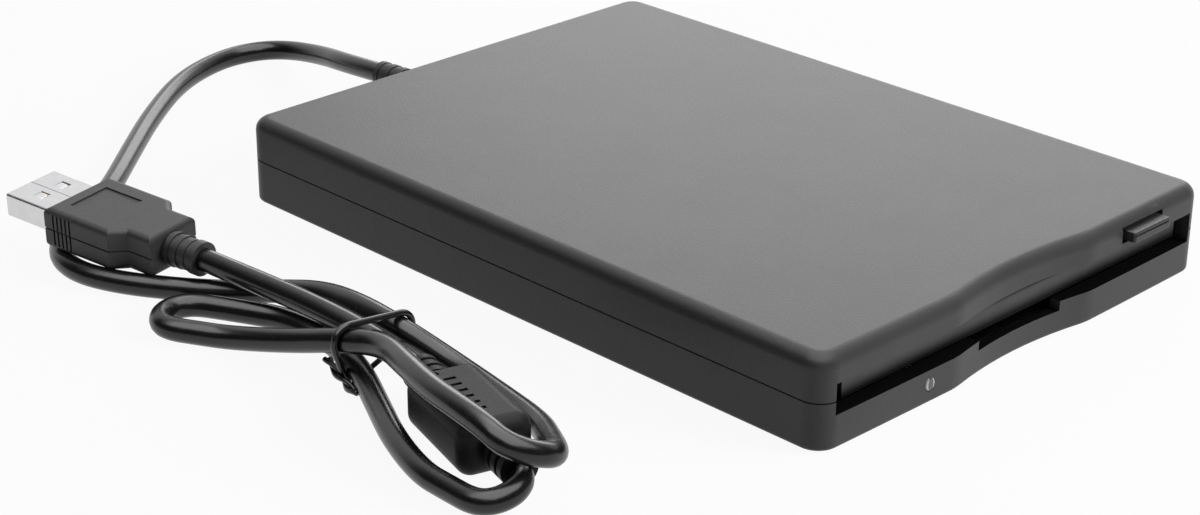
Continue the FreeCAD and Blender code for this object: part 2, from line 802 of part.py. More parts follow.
def bottom_case(block):
    shell = block.common(box(-case_x - 1, case_x + 1, -case_y - 1, case_y + 1, low_z - 1, part_z))
    shell = remove(shell, [hollow(), seam_groove(block)])
    parts = [shell, lip_ring(lip_t, part_z - 0.5, part_z + lip_h)]
    parts += [post(pad_r, x, y, floor_z - 0.2, chassis_low) for x, y in chassis_screw_places()]
    for side in (-1, 1):
        boss = post(case_boss_r, side * case_screw_x, case_screw_y, floor_z - 0.2, case_boss_split)
        stand = post(post_r, side * bridge_post_x, bridge_y, floor_z - 0.2, bridge_z)
        parts += [boss, stand]
    shell = join(parts)
    cuts = [
        box(-slot_half, slot_half, -case_y - 2, inner_front + 1, slot_low, part_z + 1),
        box(-notch_half, notch_half, -case_y - 2, inner_front + 1, notch_low, part_z + 1),
        bar(led_r + led_gap, led_x, led_z, -case_y - 2, throat_rear),
        relief_hole(),
    ]
    cuts += [post(foot_r, x, y, low_z - 1, low_z + foot_sunk) for x, y in foot_places()]
    cuts += [post(chassis_screw_r + screw_gap, x, y, floor_z - chassis_screw_deep + pad_h, chassis_low + 1)
             for x, y in chassis_screw_places()]
    head_top = low_z + head_gap + case_screw_head_h
    for side in (-1, 1):
        x = side * case_screw_x
        cuts.append(post(case_screw_head_r + head_gap, x, case_screw_y, low_z - 1, head_top))
        cuts.append(post(case_screw_r + head_gap, x, case_screw_y, low_z - 1, case_boss_split + 1))
    cuts += snap_boxes(snap_gap)
    return remove(shell, cuts)


def top_cover(block):
    shell = block.common(box(-case_x - 1, case_x + 1, -case_y - 1, case_y + 1, part_z, high_z + 1))
    lip_room = lip_ring(lip_t + lip_gap, part_z - 1, part_z + lip_h + lip_gap)
    shell = remove(shell, [hollow(), seam_groove(block), lip_room])
    parts = [shell] + snap_boxes(0)
    for side in (-1, 1):
        parts.append(post(case_boss_r, side * case_screw_x, case_screw_y, case_boss_split, roof_z + 0.2))
    shell = join(parts)
    cuts = [
        box(-slot_half, slot_half, -case_y - 2, inner_front + 1, part_z - 1, slot_high),
        box(window_x0, window_x1, -case_y - 2, inner_front + 1, window_z0, window_z1),
        relief_hole(),
        rod(flap_pin_r + flap_pin_gap, -inner_x, inner_x, flap_y, flap_hinge_z),
    ]
    cuts += both_sides(post(case_screw_r, case_screw_x, case_screw_y,
                            case_boss_split - 1, case_screw_top + 1))
    return remove(shell, cuts)


def rubber_feet():
    return [post(foot_r, x, y, 0, low_z + foot_sunk) for x, y in foot_places()]


def case_screws():
    z0 = low_z + head_gap
    z1 = z0 + case_screw_head_h
    out = []
    for side in (-1, 1):
        x = side * case_screw_x
        drive = join([box(x - 1.3, x + 1.3, case_screw_y - 0.3, case_screw_y + 0.3, z0 - 1, z0 + 0.5),
                      box(x - 0.3, x + 0.3, case_screw_y - 1.3, case_screw_y + 1.3, z0 - 1, z0 + 0.5)])
        screw = join([post(case_screw_head_r, x, case_screw_y, z0, z1),
                      post(case_screw_r - screw_gap, x, case_screw_y, z0, case_screw_top)])
        out.append(screw.cut(drive))
    return out


def lens_rear():
    return front_y(led_x) - lens_out + lens_len


def led_lens():
    front, rear = front_y(led_x) - lens_out, lens_rear()
    lens = bar(led_r, led_x, led_z, front, rear)
    tip = [e for e in lens.Edges if e.BoundBox.YMax < front + 1e-3]
    lens = lens.makeFillet(0.35, tip)
    flange = bar(lens_flange_r, led_x, led_z, inner_front, rear)
    return join([lens, flange])


def led_lamp():
    y0 = lens_rear() + lamp_gap
    top = led_z + lamp_w / 2
    body = box(led_x - lamp_w / 2, led_x + lamp_w / 2, y0 + 0.4, y0 + lamp_len, floor_z + led_board_t, top)
    dome = Part.makeSphere(lamp_w / 2 - 0.2, V(led_x, y0 + 0.4, led_z))
    dome = dome.common(box(led_x - lamp_w, led_x + lamp_w, y0, y0 + 0.5, 0, top + 1))
    return join([body, dome])


def led_board():
    y0 = lens_rear() + lamp_gap
    half = led_board_w / 2
    return box(led_x - half, led_x + half, y0, y0 + led_board_len, floor_z, floor_z + led_board_t)


def strain_relief():
    """Flange inside the wall, neck through it and a ribbed tail outside."""
    x, z = cord_exit_x, part_z
    tip = case_y + relief_len
    parts = [bar(relief_flange_r, x, z, inner_rear - relief_flange_t, inner_rear),
             bar(relief_neck_r - screw_gap, x, z, inner_rear - relief_flange_t, case_y + 1)]
    core = Part.makeCone(relief_r, cord_r + relief_wall, tip - case_y, V(x, case_y, z), V(0, 1, 0))
    parts.append(core)
    room = (relief_len - relief_collar) / relief_ribs
    fall = (relief_r - cord_r - relief_wall) / relief_ribs
    for i in range(relief_ribs):
        y0 = case_y + i * room
        parts.append(bar(relief_r + relief_step - fall * i, x, z, y0, y0 + relief_rib))
    parts.append(bar(cord_r + relief_wall + relief_step, x, z, tip - relief_collar, tip))
    return join(parts)


# ---------------------------------------------------------------- dust flap
def dust_flap():
    y0, y1 = flap_y - flap_t / 2, flap_y + flap_t / 2
    leaf = box(-flap_half, flap_half, y0, y1, flap_low, flap_hinge_z)
    lower = [e for e in leaf.Edges if max(v.Z for v in e.Vertexes) < flap_low + 1e-6 and e.Length > flap_half]
    leaf = leaf.makeFillet(0.2, lower)
    end = slot_half + flap_pin_bite
    return join([leaf, rod(flap_t / 2, -flap_half, flap_half, flap_y, flap_hinge_z),
                 rod(flap_pin_r, -end, end, flap_y, flap_hinge_z)])


def flap_spring():
    """Light torsion spring round the left hinge pin."""
    helix = Part.makeHelix(flap_spring_pitch, flap_spring_pitch * flap_spring_turns, flap_spring_r)
    start = V(flap_spring_r, 0, 0)
    ring = Part.Wire(Part.makeCircle(flap_spring_wire_r, start, V(0, 1, 0)))
    coil = Part.Wire(helix).makePipeShell([ring], True, True)
    coil.rotate(V(0, 0, 0), V(0, 1, 0), 90)
    coil.translate(V(-slot_half + 0.4, flap_y, flap_hinge_z))
    return coil


# ---------------------------------------------------------------- chassis
def chassis_frame():
    parts = [box(-mech_half, mech_half, mech_front, mech_rear, chassis_low, deck_z)]
    for side in (-1, 1):
        x0, x1 = sorted((side * mech_inner, side * mech_half))
        parts.append(box(x0, x1, mech_front, mech_rear, chassis_low, chassis_top))
    tab_high = slide_low - slide_play
    for tab in both_sides(box(guide_x - 1.6, mech_half, guide_y - guide_tab_len / 2,
                              guide_y + guide_tab_len / 2, tab_high - tab_t, tab_high)):
        parts.append(tab)
    for tab in both_sides(box(spring_x - 1.2, mech_half, spring_front - 1.5, spring_front + 1.2,
                              spring_tab_z - tab_t, spring_tab_z)):
        parts.append(tab)
    for peg in both_sides(post(spring_post_r, spring_x, spring_front, spring_tab_z - tab_t,
                               spring_z + spring_post_reach)):
        parts.append(peg)
    for x in (control_x0 + 3, control_x1 - 3):
        for y in (control_y0 + 2.5, control_y1 - 2.5):
            parts.append(post(post_r, x, y, deck_z - 0.1, control_z))
    frame = join(parts)
    cuts = [post(well_r, 0, spindle_y, chassis_low - 1, deck_z + 1),
            box(-motor_window_half, motor_window_half, motor_window_y0, spindle_y - well_r + 3,
                chassis_low - 1, deck_z + 1),
            box(*well_carriage_x, rod_front + cradle_len, carriage_y1 + well_carriage_rear,
                chassis_low - 1, deck_z + 1),
            box(led_x - 2.2, led_x + 2.2, mech_front - 1, mech_front + 4.5, chassis_low - 1, deck_z + 1)]
    for y in cage_pin_y:
        r = cage_pin_r + pin_gap
        for side in (-1, 1):
            x0, x1 = sorted((side * (mech_inner - 0.1), side * (mech_half + 0.1)))
            cuts.append(slot_x(r, x0, x1, y, cage_pin_z - seat_drop, y, chassis_top + 2))
    for x, y in chassis_screw_places():
        cuts.append(post(chassis_screw_r + screw_gap, x, y, chassis_low - 1, deck_z + 1))
    for x, y in motor_screw_places():
        cuts.append(post(motor_screw_r + screw_gap, x, y, chassis_low - 1, deck_z + 1))
    for side in (-1, 1):
        cuts.append(post(guide_r + fit_gap, side * guide_x, guide_y, tab_high - tab_t - 1, tab_high + 1))
    return remove(frame, cuts)


def inner_screws():
    """Four screws through the chassis into the case, four through the motor board."""
    out = motor_screws()
    for x, y in chassis_screw_places():
        screw = join([post(chassis_screw_r, x, y, floor_z + pad_h - chassis_screw_deep + 0.2, deck_z + 0.2),
                      post(chassis_screw_head_r, x, y, deck_z, deck_z + chassis_screw_head_h)])
        top = deck_z + chassis_screw_head_h
        out.append(screw.cut(box(x - 1.1, x + 1.1, y - 0.25, y + 0.25, top - 0.35, top + 1)))
    return out


def top_shield():
    z0, z1 = chassis_top, chassis_top + shield_t
    parts = [box(-mech_half, mech_half, shield_front, mech_rear, z0, z1)]
    for y in clip_y:
        clip = box(mech_half, mech_half + clip_t, y - clip_len / 2, y + clip_len / 2, clip_low, z1)
        strap = box(mech_half - 1, mech_half + clip_t, y - clip_len / 2, y + clip_len / 2, z0, z1)
        parts += both_sides(join([clip, strap]))
    shield = join(parts)
    slot = slot_z(shield_slot_r, mech_half - shield_slot_in, mech_rear - shield_slot_from[0],
                  mech_rear - shield_slot_from[1], z0 - 1, z1 + 1)
    return remove(shield, both_sides(slot))


def slide_guides():
    tab_high = slide_low - slide_play
    head_z = slide_high + slide_play
    out = []
    for side in (-1, 1):
        x = side * guide_x
        out.append(join([post(guide_r, x, guide_y, tab_high - tab_t, head_z + guide_head_h),
                         post(guide_head_r, x, guide_y, head_z, head_z + guide_head_h)]))
    return out


def slide_plate():
    body = box(-slide_flange_out, slide_flange_out, slide_front, slide_rear, slide_low, slide_high)
    parts = [body, box(tongue_x0, tongue_x1, tongue_front, slide_front + 1, slide_low, slide_high)]
    for y in cage_pin_y:
        parts += both_sides(box(slide_flange_in, slide_flange_out, y - slide_flange_before,
                                y + button_travel + slide_flange_after, slide_flange_low, slide_high))
    parts += both_sides(post(spring_post_r, spring_x, spring_rear, spring_z - spring_post_reach, slide_high))
    plate_shape = join(parts)
    z0, z1 = slide_low - 1, slide_high + 1
    cuts = [box(-slide_cut_half, slide_cut_half, slide_cut_front, slide_rear + 1, z0, z1)]
    cuts += both_sides(box(spring_x - spring_bay_half, spring_x + spring_bay_half, slide_front - 1,
                           spring_rear - spring_hook + spring_bay_spare, z0, z1))
    for side in (-1, 1):
        cuts.append(slot_z(guide_r + pin_gap, side * guide_x, guide_y, guide_y + button_travel,
                           slide_low - 1, slide_high + 1))
        for y in cage_pin_y:
            x0, x1 = sorted((side * (slide_flange_in - 0.05), side * (slide_flange_out + 0.05)))
            cuts.append(slot_x(cage_pin_r + pin_gap, x0, x1, y, cage_pin_z,
                               y + button_travel, cage_pin_z - seat_drop))
    cuts.append(post(peg_r + fit_gap, (tongue_x0 + tongue_x1) / 2, tongue_front + 3,
                     slide_low - 1, slide_high + 1))
    return remove(plate_shape, cuts)


def eject_button():
    z0 = window_z0 + button_under
    z1 = z0 + button_h
    nose_rear = tongue_front - fit_gap
    nose = rounded_box(button_x0, button_x1, button_front, nose_rear, z0, z1, 0.5)
    rim = [e for e in nose.Edges if e.BoundBox.YMax < button_front + 0.6 and e.BoundBox.ZLength < 1e-3]
    nose = nose.makeFillet(0.25, rim)
    tail = box(button_x0, button_x1, nose_rear - 1, button_front + button_len, slide_high, z1)
    peg = post(peg_r, (tongue_x0 + tongue_x1) / 2, tongue_front + 3, slide_low - 0.1, slide_high + 0.1)
    groove = box(button_x0 - 1, button_x1 + 1, button_front - 1, button_front + button_groove,
                 z1 - 0.75, z1 - 0.4)
    return join([nose, tail, peg]).cut(groove)


def coil_spring(x, y0, y1, z):
    """Extension spring along Y with a ring at each end round its post."""
    body0, body1 = y0 + spring_hook, y1 - spring_hook
    pitch = (body1 - body0) / spring_turns
    helix = Part.makeHelix(pitch, body1 - body0, spring_r)
    ring = Part.Wire(Part.makeCircle(spring_wire_r, V(spring_r, 0, 0), V(0, 1, 0)))
    coil = Part.Wire(helix).makePipeShell([ring], True, True)
    coil.rotate(V(0, 0, 0), V(1, 0, 0), -90)
    coil.translate(V(x, body0, z))
    eye_r = spring_post_r + spring_wire_r + 0.05
    eyes = [Part.makeTorus(eye_r, spring_wire_r, V(x, y, z)) for y in (y0, y1)]
    legs = [bar(spring_wire_r, x + spring_r, z, y0 + 0.05, body0 + 0.1),
            bar(spring_wire_r, x + spring_r, z, body1 - 0.1, y1 - 0.05)]
    return join([coil] + eyes + legs)


def eject_springs():
    return both_sides(coil_spring(spring_x, spring_front, spring_rear, spring_z))


# ---------------------------------------------------------------- disk cage and latch
def disk_cage():
    roof = box(-cage_half, cage_half, cage_front, cage_rear, cage_roof_z, cage_top)
    low, top = cage_floor_z - cage_t, cage_top
    parts = [roof]
    parts += both_sides(box(cage_half_in, cage_half, cage_front, cage_rear, low, top))
    parts += both_sides(box(cage_half_in - cage_lip, cage_half, cage_front, cage_rear, low, cage_floor_z))
    cage = join(parts)
    pin_x, pin_y = lever_tip(0)
    swing_x, swing_y = lever_tip(lever_swing)
    room = lever_pin_r + lever_pin_room
    left = min(pin_x, swing_x) - room
    front = min(pin_y, swing_y) - room
    cuts = [box(-cage_cut_half, cage_cut_half, cage_cut_front, cage_rear + 1, cage_roof_z - 1, top + 1),
            box(left, -cage_cut_half + 1, front, cage_rear + 1, cage_roof_z - 1, top + 1)]
    for y in cage_pin_y:
        cuts.append(rod(cage_pin_r + fit_gap, -cage_half - 1, cage_half + 1, y, cage_pin_z))
    return remove(cage, cuts)


def cage_pins():
    out = []
    for y in cage_pin_y:
        out += both_sides(rod(cage_pin_r, cage_half_in, mech_half - 0.05, y, cage_pin_z))
    return out


def lever_tip(swing):
    angle = math.radians(lever_rest + swing)
    return lever_x + lever_arm * math.cos(angle), lever_y + lever_arm * math.sin(angle)


def latch_lever():
    tip_x, tip_y = lever_tip(0)
    hook = math.radians(lever_rest - lever_bend)
    hook_x = lever_x + lever_hook_len * math.cos(hook)
    hook_y = lever_y + lever_hook_len * math.sin(hook)
    z0, z1 = lever_low, lever_low + lever_t
    parts = [post(lever_half + 0.8, lever_x, lever_y, z0, z1)]
    for x, y in ((tip_x, tip_y), (hook_x, hook_y)):
        run = V(x - lever_x, y - lever_y, 0)
        side = V(-run.y, run.x, 0).normalize() * lever_half
        a, b = V(lever_x, lever_y, z0), V(x, y, z0)
        corners = [a + side, b + side, b - side, a - side]
        parts.append(plate([(p.x, p.y) for p in corners], z0, z1))
        parts.append(post(lever_half, x, y, z0, z1))
    parts.append(post(lever_pin_r, tip_x, tip_y, lever_pin_low, z1))
    return join(parts).cut(post(lever_neck_r + screw_gap, lever_x, lever_y, z0 - 1, z1 + 1))


def latch_pivot():
    return join([post(lever_post_r, lever_x, lever_y, deck_z, lever_low - 0.1),
                 post(lever_neck_r, lever_x, lever_y, deck_z, lever_low + lever_t + 0.2),
                 post(lever_cap_r, lever_x, lever_y, lever_low + lever_t + 0.1,
                      lever_low + lever_t + 0.1 + lever_cap_h)])


# ---------------------------------------------------------------- spindle motor
def motor_screw_places():
    return [(sx * motor_screw_x, y) for sx in (-1, 1) for y in motor_screw_y]


def motor_board():
    board = box(-motor_board_half, motor_board_half, motor_board_y0, motor_board_y1, board_low, chassis_low)
    holes = [post(motor_screw_r, x, y, board_low - 1, chassis_low + 1) for x, y in motor_screw_places()]
    return remove(board, holes)


def motor_screws():
    out = []
    for x, y in motor_screw_places():
        out.append(join([post(motor_screw_r, x, y, board_low, deck_z + 0.1),
                         post(motor_screw_head_r, x, y, deck_z, deck_z + motor_screw_head_h)]))
    return out


def spindle_bearing():
    body = join([post(bearing_flange_r, 0, spindle_y, chassis_low, core_low),
                 post(bearing_r, 0, spindle_y, chassis_low, bearing_high)])
    return body.cut(post(shaft_r + fit_gap, 0, spindle_y, chassis_low + 0.05, bearing_high + 1))


def stator_core():
    hub = post(core_hub_r, 0, spindle_y, core_low, core_high)
    ring = tube(core_out_r, tip_r, 0, spindle_y, core_low, core_high)
    parts = [hub]
    for i in range(poles):
        turn = 360.0 * i / poles
        arm = box(core_hub_r - 1, tip_r + 0.5, -arm_w / 2, arm_w / 2, core_low, core_high)
        far = core_out_r + 2
        wedge = plate([(0, 0), (far, -far * 0.2), (far, far * 0.2)], core_low - 1, core_high + 1)
        for piece in (arm, wedge):
            piece.translate(V(0, spindle_y, 0))
            piece.rotate(V(0, spindle_y, 0), V(0, 0, 1), turn)
        parts += [arm, ring.common(wedge)]
    return join(parts).cut(post(bearing_r + fit_gap, 0, spindle_y, core_low - 1, core_high + 1))


def stator_coils():
    out = []
    for i in range(poles):
        coil = box(coil_r0, coil_r1, -coil_w / 2, coil_w / 2, core_low - coil_over, core_high + coil_over)
        coil = coil.makeFillet(0.35, [e for e in coil.Edges if e.BoundBox.XLength > 1])
        coil = coil.cut(box(coil_r0 - 1, coil_r1 + 1, -arm_w / 2 - fit_gap, arm_w / 2 + fit_gap,
                            core_low - fit_gap, core_high + fit_gap))
        coil.translate(V(0, spindle_y, 0))
        coil.rotate(V(0, spindle_y, 0), V(0, 0, 1), 360.0 * i / poles)
        out.append(coil)
    return out


def rotor_cup():
    roof = post(rotor_r, 0, spindle_y, rotor_roof, rotor_top)
    skirt = tube(rotor_r, rotor_r - rotor_wall, 0, spindle_y, rotor_low, rotor_top)
    cup = join([roof, skirt])
    edge = [e for e in cup.Edges if e.BoundBox.ZMin > rotor_top - 1e-3]
    cup = cup.makeFillet(0.3, edge)
    return cup.cut(post(shaft_r + fit_gap, 0, spindle_y, rotor_low, rotor_top + 1))


def rotor_magnet():
    r = rotor_r - rotor_wall
    return tube(r, r - magnet_t, 0, spindle_y, rotor_low + 0.1, rotor_roof)


def spindle_shaft():
    shaft = post(shaft_r, 0, spindle_y, shaft_low, shaft_high)
    return shaft.makeChamfer(0.3, [e for e in shaft.Edges if e.BoundBox.ZMin > shaft_high - 1e-3])


def hub_plate():
    top = rotor_top + hub_t
    disc = post(hub_r, 0, spindle_y, rotor_top, top)
    boss = post(hub_boss_r, 0, spindle_y, top - 0.1, top + hub_boss_h)
    return join([disc, boss]).cut(post(shaft_r + fit_gap, 0, spindle_y, rotor_top - 1, shaft_high))


def drive_pin():
    top = rotor_top + hub_t
    pin = post(drive_pin_r, drive_pin_at, spindle_y, top, top + drive_pin_h)
    return pin.makeFillet(0.3, [e for e in pin.Edges if e.BoundBox.ZMin > top + drive_pin_h - 1e-3])


# ---------------------------------------------------------------- head carriage
def guide_rods():
    return [bar(r, x, rod_z, rod_front, rod_rear) for x, r in ((rod_x, rod_r), (rail_x, rail_r))]


def rail_cradles():
    out = []
    for x, r in ((rod_x, rod_r), (rail_x, rail_r)):
        for y0 in (rod_front, rod_rear - cradle_len):
            block = box(x - cradle_half, x + cradle_half, y0, y0 + cradle_len, deck_z, cradle_top)
            out.append(block.cut(bar(r + fit_gap, x, rod_z, y0 - 1, y0 + cradle_len + 1)))
    return out


def head_carriage():
    y0, y1 = carriage_y0, carriage_y1
    tower = box(-carriage_half, carriage_half, y0, y1, carriage_low, carriage_high)
    parts = [tower]
    pin_y = pivot_y()
    for side in (-1, 1):
        x0, x1 = sorted((side * (arm_half + upper_arm_gap), side * carriage_half))
        parts.append(box(x0, x1, y0 + 0.6, y1 - 0.6, carriage_high - 0.1, upper_arm_z + hinge_r))
    parts.append(box(-arm_half, arm_half, lower_arm_y0, y0 + 0.5, lower_arm_low, lower_arm_low + lower_arm_t))
    parts.append(box(carriage_half - 0.5, rod_x, y0, y1, rod_z - 1.0, rod_z + 1.0))
    parts.append(bar(bush_r, rod_x, rod_z, y0, y1))
    parts.append(box(rail_x - rail_r - 0.6, -carriage_half + 0.5, y0 + 1, y1 - 1,
                     rod_z - rail_shoe / 2, rod_z + rail_shoe / 2))
    parts.append(box(screw_x + screw_r + 0.15, -carriage_half + 0.5, follower_y0, follower_y1,
                     screw_z - follower_t / 2, screw_z + follower_t / 2))
    parts.append(box(-carriage_half, -carriage_half + 3, follower_y0, follower_y1,
                     carriage_high - 0.5, screw_z + follower_t / 2))
    parts.append(box(carriage_half - 1, flag_x + flag_t / 2, flag_y0, flag_y1,
                     flag_arm_low, flag_arm_low + flag_arm_t))
    parts.append(box(carriage_half - 1, carriage_half, flag_y0, flag_y1,
                     carriage_high - 1, flag_arm_low + 0.1))
    parts.append(box(flag_x - flag_t / 2, flag_x + flag_t / 2, flag_y0, flag_y1,
                     flag_low, flag_arm_low + 0.1))
    body = join(parts)
    shoe = rail_r + bush_gap
    ear_in = arm_half + upper_arm_gap
    cuts = [bar(rod_r + bush_gap, rod_x, rod_z, y0 - 1, y1 + 1),
            box(rail_x - rail_r - 2, rail_x + shoe, y0, y1, rod_z - shoe, rod_z + shoe),
            rod(upper_pin_r + fit_gap, -carriage_half - 1, carriage_half + 1, pin_y, upper_arm_z),
            rod(hinge_r + hinge_gap, -ear_in, ear_in, pin_y, upper_arm_z),
            box(-ear_in, ear_in, y0 - 1, pin_y, upper_arm_z - hinge_room, upper_arm_z + hinge_r + 1)]
    return remove(body, cuts)


def pivot_y():
    return (carriage_y0 + carriage_y1) / 2 - 0.25


def lower_head():
    z0 = lower_arm_low + lower_arm_t
    head = box(-head_half, head_half, head_y - head_half, head_y + head_half, z0, head_plane - head_clear)
    return head.makeFillet(0.4, [e for e in head.Edges if e.BoundBox.ZMin > head_plane - head_clear - 1e-3])


def raised(shape):
    """The upper arm's rest pose, lifted clear of the disk path."""
    lifted = shape.copy()
    lifted.rotate(V(0, pivot_y(), upper_arm_z), V(1, 0, 0), -upper_lift)
    return lifted


def upper_arm():
    z0, z1 = upper_arm_z - upper_arm_t / 2, upper_arm_z + upper_arm_t / 2
    leaf = box(-arm_half, arm_half, lower_arm_y0 + 0.5, pivot_y(), z0, z1)
    hub = rod(hinge_r, -arm_half, arm_half, pivot_y(), upper_arm_z)
    window = box(-2.6, 2.6, head_y + 5, pivot_y() - 6, z0 - 1, z1 + 1)
    arm = join([leaf, hub]).cut(window)
    return raised(arm.cut(rod(upper_pin_r + fit_gap, -arm_half - 1, arm_half + 1, pivot_y(), upper_arm_z)))


def upper_head():
    z1 = upper_arm_z - upper_arm_t / 2
    head = box(-head_half, head_half, head_y - head_half, head_y + head_half, head_plane + head_clear, z1)
    low = [e for e in head.Edges if e.BoundBox.ZMax < head_plane + head_clear + 1e-3]
    return raised(head.makeFillet(0.4, low))


def arm_pivot():
    return rod(upper_pin_r, -carriage_half, carriage_half, pivot_y(), upper_arm_z)


def track_sensor():
    y0, y1 = sensor_y0, sensor_y1
    block = box(flag_x - sensor_half, flag_x + sensor_half, y0, y1, deck_z, sensor_high)
    return block.cut(box(flag_x - sensor_slot_half, flag_x + sensor_slot_half, y0 - 1, y1 + 1,
                         deck_z + sensor_base, sensor_high + 1))


# ---------------------------------------------------------------- stepper and lead screw
def stepper_can():
    can = bar(stepper_r, screw_x, screw_z, stepper_y0, stepper_y1)
    rims = [e for e in can.Edges if e.BoundBox.YLength < 1e-3]
    return can.makeFillet(0.4, rims)


def stepper_bracket():
    y0, y1 = stepper_y0 - bracket_t, stepper_y0
    left = screw_x - bracket_half
    wall_plate = box(left, screw_x + bracket_half, y0, y1, deck_z, screw_z + bracket_up)
    foot = box(left, left + bracket_foot_w, y1 - bracket_foot, y1, deck_z, deck_z + bracket_t)
    foot_right = foot.mirror(V(screw_x, 0, 0), V(1, 0, 0))
    return join([wall_plate, foot, foot_right]).cut(bar(screw_r + 0.3, screw_x, screw_z, y0 - 1, y1 + 1))


def lead_screw():
    screw = bar(screw_r, screw_x, screw_z, screw_front, stepper_y0)
    flat = box(screw_x - screw_r, screw_x + screw_r, screw_front - 1, screw_front + 0.8,
               screw_z + 0.55 * screw_r, screw_z + screw_r + 1)
    return screw.cut(flat)


def screw_bearing():
    y0 = screw_front - 0.2
    half = bearing_block_half
    block = box(screw_x - half, screw_x + half, y0, y0 + bearing_block_len, deck_z, screw_z + half)
    return block.cut(bar(screw_r + bush_gap, screw_x, screw_z, y0 - 1, y0 + bearing_block_len + 1))


# ---------------------------------------------------------------- boards and wiring
def control_board():
    return rounded_box(control_x0, control_x1, control_y0, control_y1, control_z, control_z + control_t, 0.8)


def chip(x, y, side, height, z):
    half = side / 2
    body = box(x - half, x + half, y - half, y + half, z, z + height)
    return body.makeChamfer(0.15, [e for e in body.Edges if e.BoundBox.ZMin > z + height - 1e-3])


def chips():
    """Controller and data chip, motor driver, and the chip of the bridge board."""
    out = [chip(control_x0 + x, control_y0 + y, side, height, control_top)
           for x, y, side, height in (control_chip, data_chip)]
    x, side, height = bridge_chip
    return out + [chip(x, bridge_y, side, height, bridge_top), motor_driver()]


def motor_driver():
    w, d, h = motor_chip
    y = (motor_window_y0 + spindle_y - rotor_r) / 2 - 0.6
    return box(-w / 2, w / 2, y - d / 2, y + d / 2, chassis_low, chassis_low + h)


def ribbon_connectors():
    z0, z1 = control_top, bridge_top
    front = box(ribbon_x0 - 1, ribbon_x1 + 1, control_y1 - connector_len, control_y1, z0, z0 + connector_h)
    rear = box(ribbon_x0 - 1, ribbon_x1 + 1, bridge_y0, bridge_y0 + connector_len, z1, z1 + connector_h)
    return [front, rear]


def ribbon_cable():
    ya, za = control_y1, control_top + connector_h / 2
    yb, zb = bridge_y0, bridge_top + connector_h / 2
    mid = V(0, (ya + yb) / 2, max(za, zb) + ribbon_rise)
    low = Part.Arc(V(0, ya, za), mid, V(0, yb, zb)).toShape()
    up = V(0, 0, ribbon_t)
    high = Part.Arc(V(0, ya, za) + up, mid + up, V(0, yb, zb) + up).toShape()
    side = [Part.makeLine(V(0, ya, za), V(0, ya, za) + up), Part.makeLine(V(0, yb, zb), V(0, yb, zb) + up)]
    outline = Part.Wire(Part.__sortEdges__([low, side[0], high, side[1]]))
    strip = Part.Face(outline).extrude(V(ribbon_x1 - ribbon_x0, 0, 0))
    strip.translate(V(ribbon_x0, 0, 0))
    return strip


def bridge_board():
    return rounded_box(-bridge_half, bridge_half + bridge_more, bridge_y0, bridge_y1,
                       bridge_z, bridge_top, 0.8)


def board_parts():
    """Crystal can and capacitors, each standing on its board."""
    x, length, width, height = crystal
    can = rounded_box(x - length / 2, x + length / 2, bridge_y - width / 2, bridge_y + width / 2,
                      bridge_top, bridge_top + height, width / 2 - 0.05)
    out = [can]
    out += [post(capacitor_r, cx, bridge_y, bridge_top, bridge_top + capacitor_h) for cx in bridge_capacitors]
    cx, cy = control_x1 - control_capacitor[0], control_y0 + control_capacitor[1]
    out.append(post(capacitor_r, cx, cy, control_top, control_top + capacitor_h))
    return out


def cord_leads():
    """Four wires of the cord, from its moulding down to the bridge board."""
    y0, bend = inner_rear - relief_flange_t, 1.4
    out = []
    for i in range(4):
        x = cord_exit_x + (i - 1.5) * lead_pitch
        a, b = V(x, y0, part_z), V(x, y0 - 0.6, part_z)
        c, d = V(x, y0 - 0.6 - bend, part_z - bend), V(x, y0 - 0.6 - bend, bridge_top)
        k = bend * (1 - math.sqrt(0.5))
        mid = V(x, y0 - 0.6 - bend + k, part_z - k)
        path = Part.Wire([Part.makeLine(a, b), Part.Arc(b, mid, c).toShape(), Part.makeLine(c, d)])
        out.append(sweep_round(path, lead_r))
    return out


# ---------------------------------------------------------------- disk sensing switches
def switch_bodies():
    out = []
    for side, y in switch_spots:
        x = side * switch_x
        h = switch_half
        body = box(x - h, x + h, y - h, y + h, deck_z, deck_z + switch_h)
        out.append(body.cut(post(plunger_r + plunger_gap, x, y, deck_z - 1, deck_z + switch_h + 1)))
    return out


def plunger(index):
    side, y = switch_spots[index]
    x = side * switch_x
    pin = post(plunger_r, x, y, deck_z + switch_h - plunger_grip, plunger_top)
    return pin.makeFillet(0.3, [e for e in pin.Edges if e.BoundBox.ZMin > plunger_top - 1e-3])


# ---------------------------------------------------------------- cord
def cord_path():
    """Straight runs joined by tangent arcs, each as large as its two runs allow."""
    points = [V(*p) for p in cord_route]
    edges, at = [], points[0]
    for i in range(1, len(points) - 1):
        before, after = points[i] - points[i - 1], points[i + 1] - points[i]
        reach = 0.45 * min(before.Length, after.Length)
        turn = before.getAngle(after)
        radius = reach / math.tan(turn / 2)
        start = points[i] - before.normalize() * reach
        end = points[i] + after.normalize() * reach
        inward = (after - before).normalize()
        middle = points[i] + inward * (radius / math.cos(turn / 2) - radius)
        edges += [Part.makeLine(at, start), Part.Arc(start, middle, end).toShape()]
        print("cord bend %2d: radius %.1f, turn %.0f degrees" % (i, radius, math.degrees(turn)))
        at = end
    edges.append(Part.makeLine(at, points[-1]))
    return Part.Wire(edges)


def usb_cord():
    path = cord_path()
    cord = sweep_round(path, cord_r)
    section = math.pi * cord_r ** 2
    print("cord length %.1f, volume over section %.1f" % (path.Length, cord.Volume / section))
    return cord


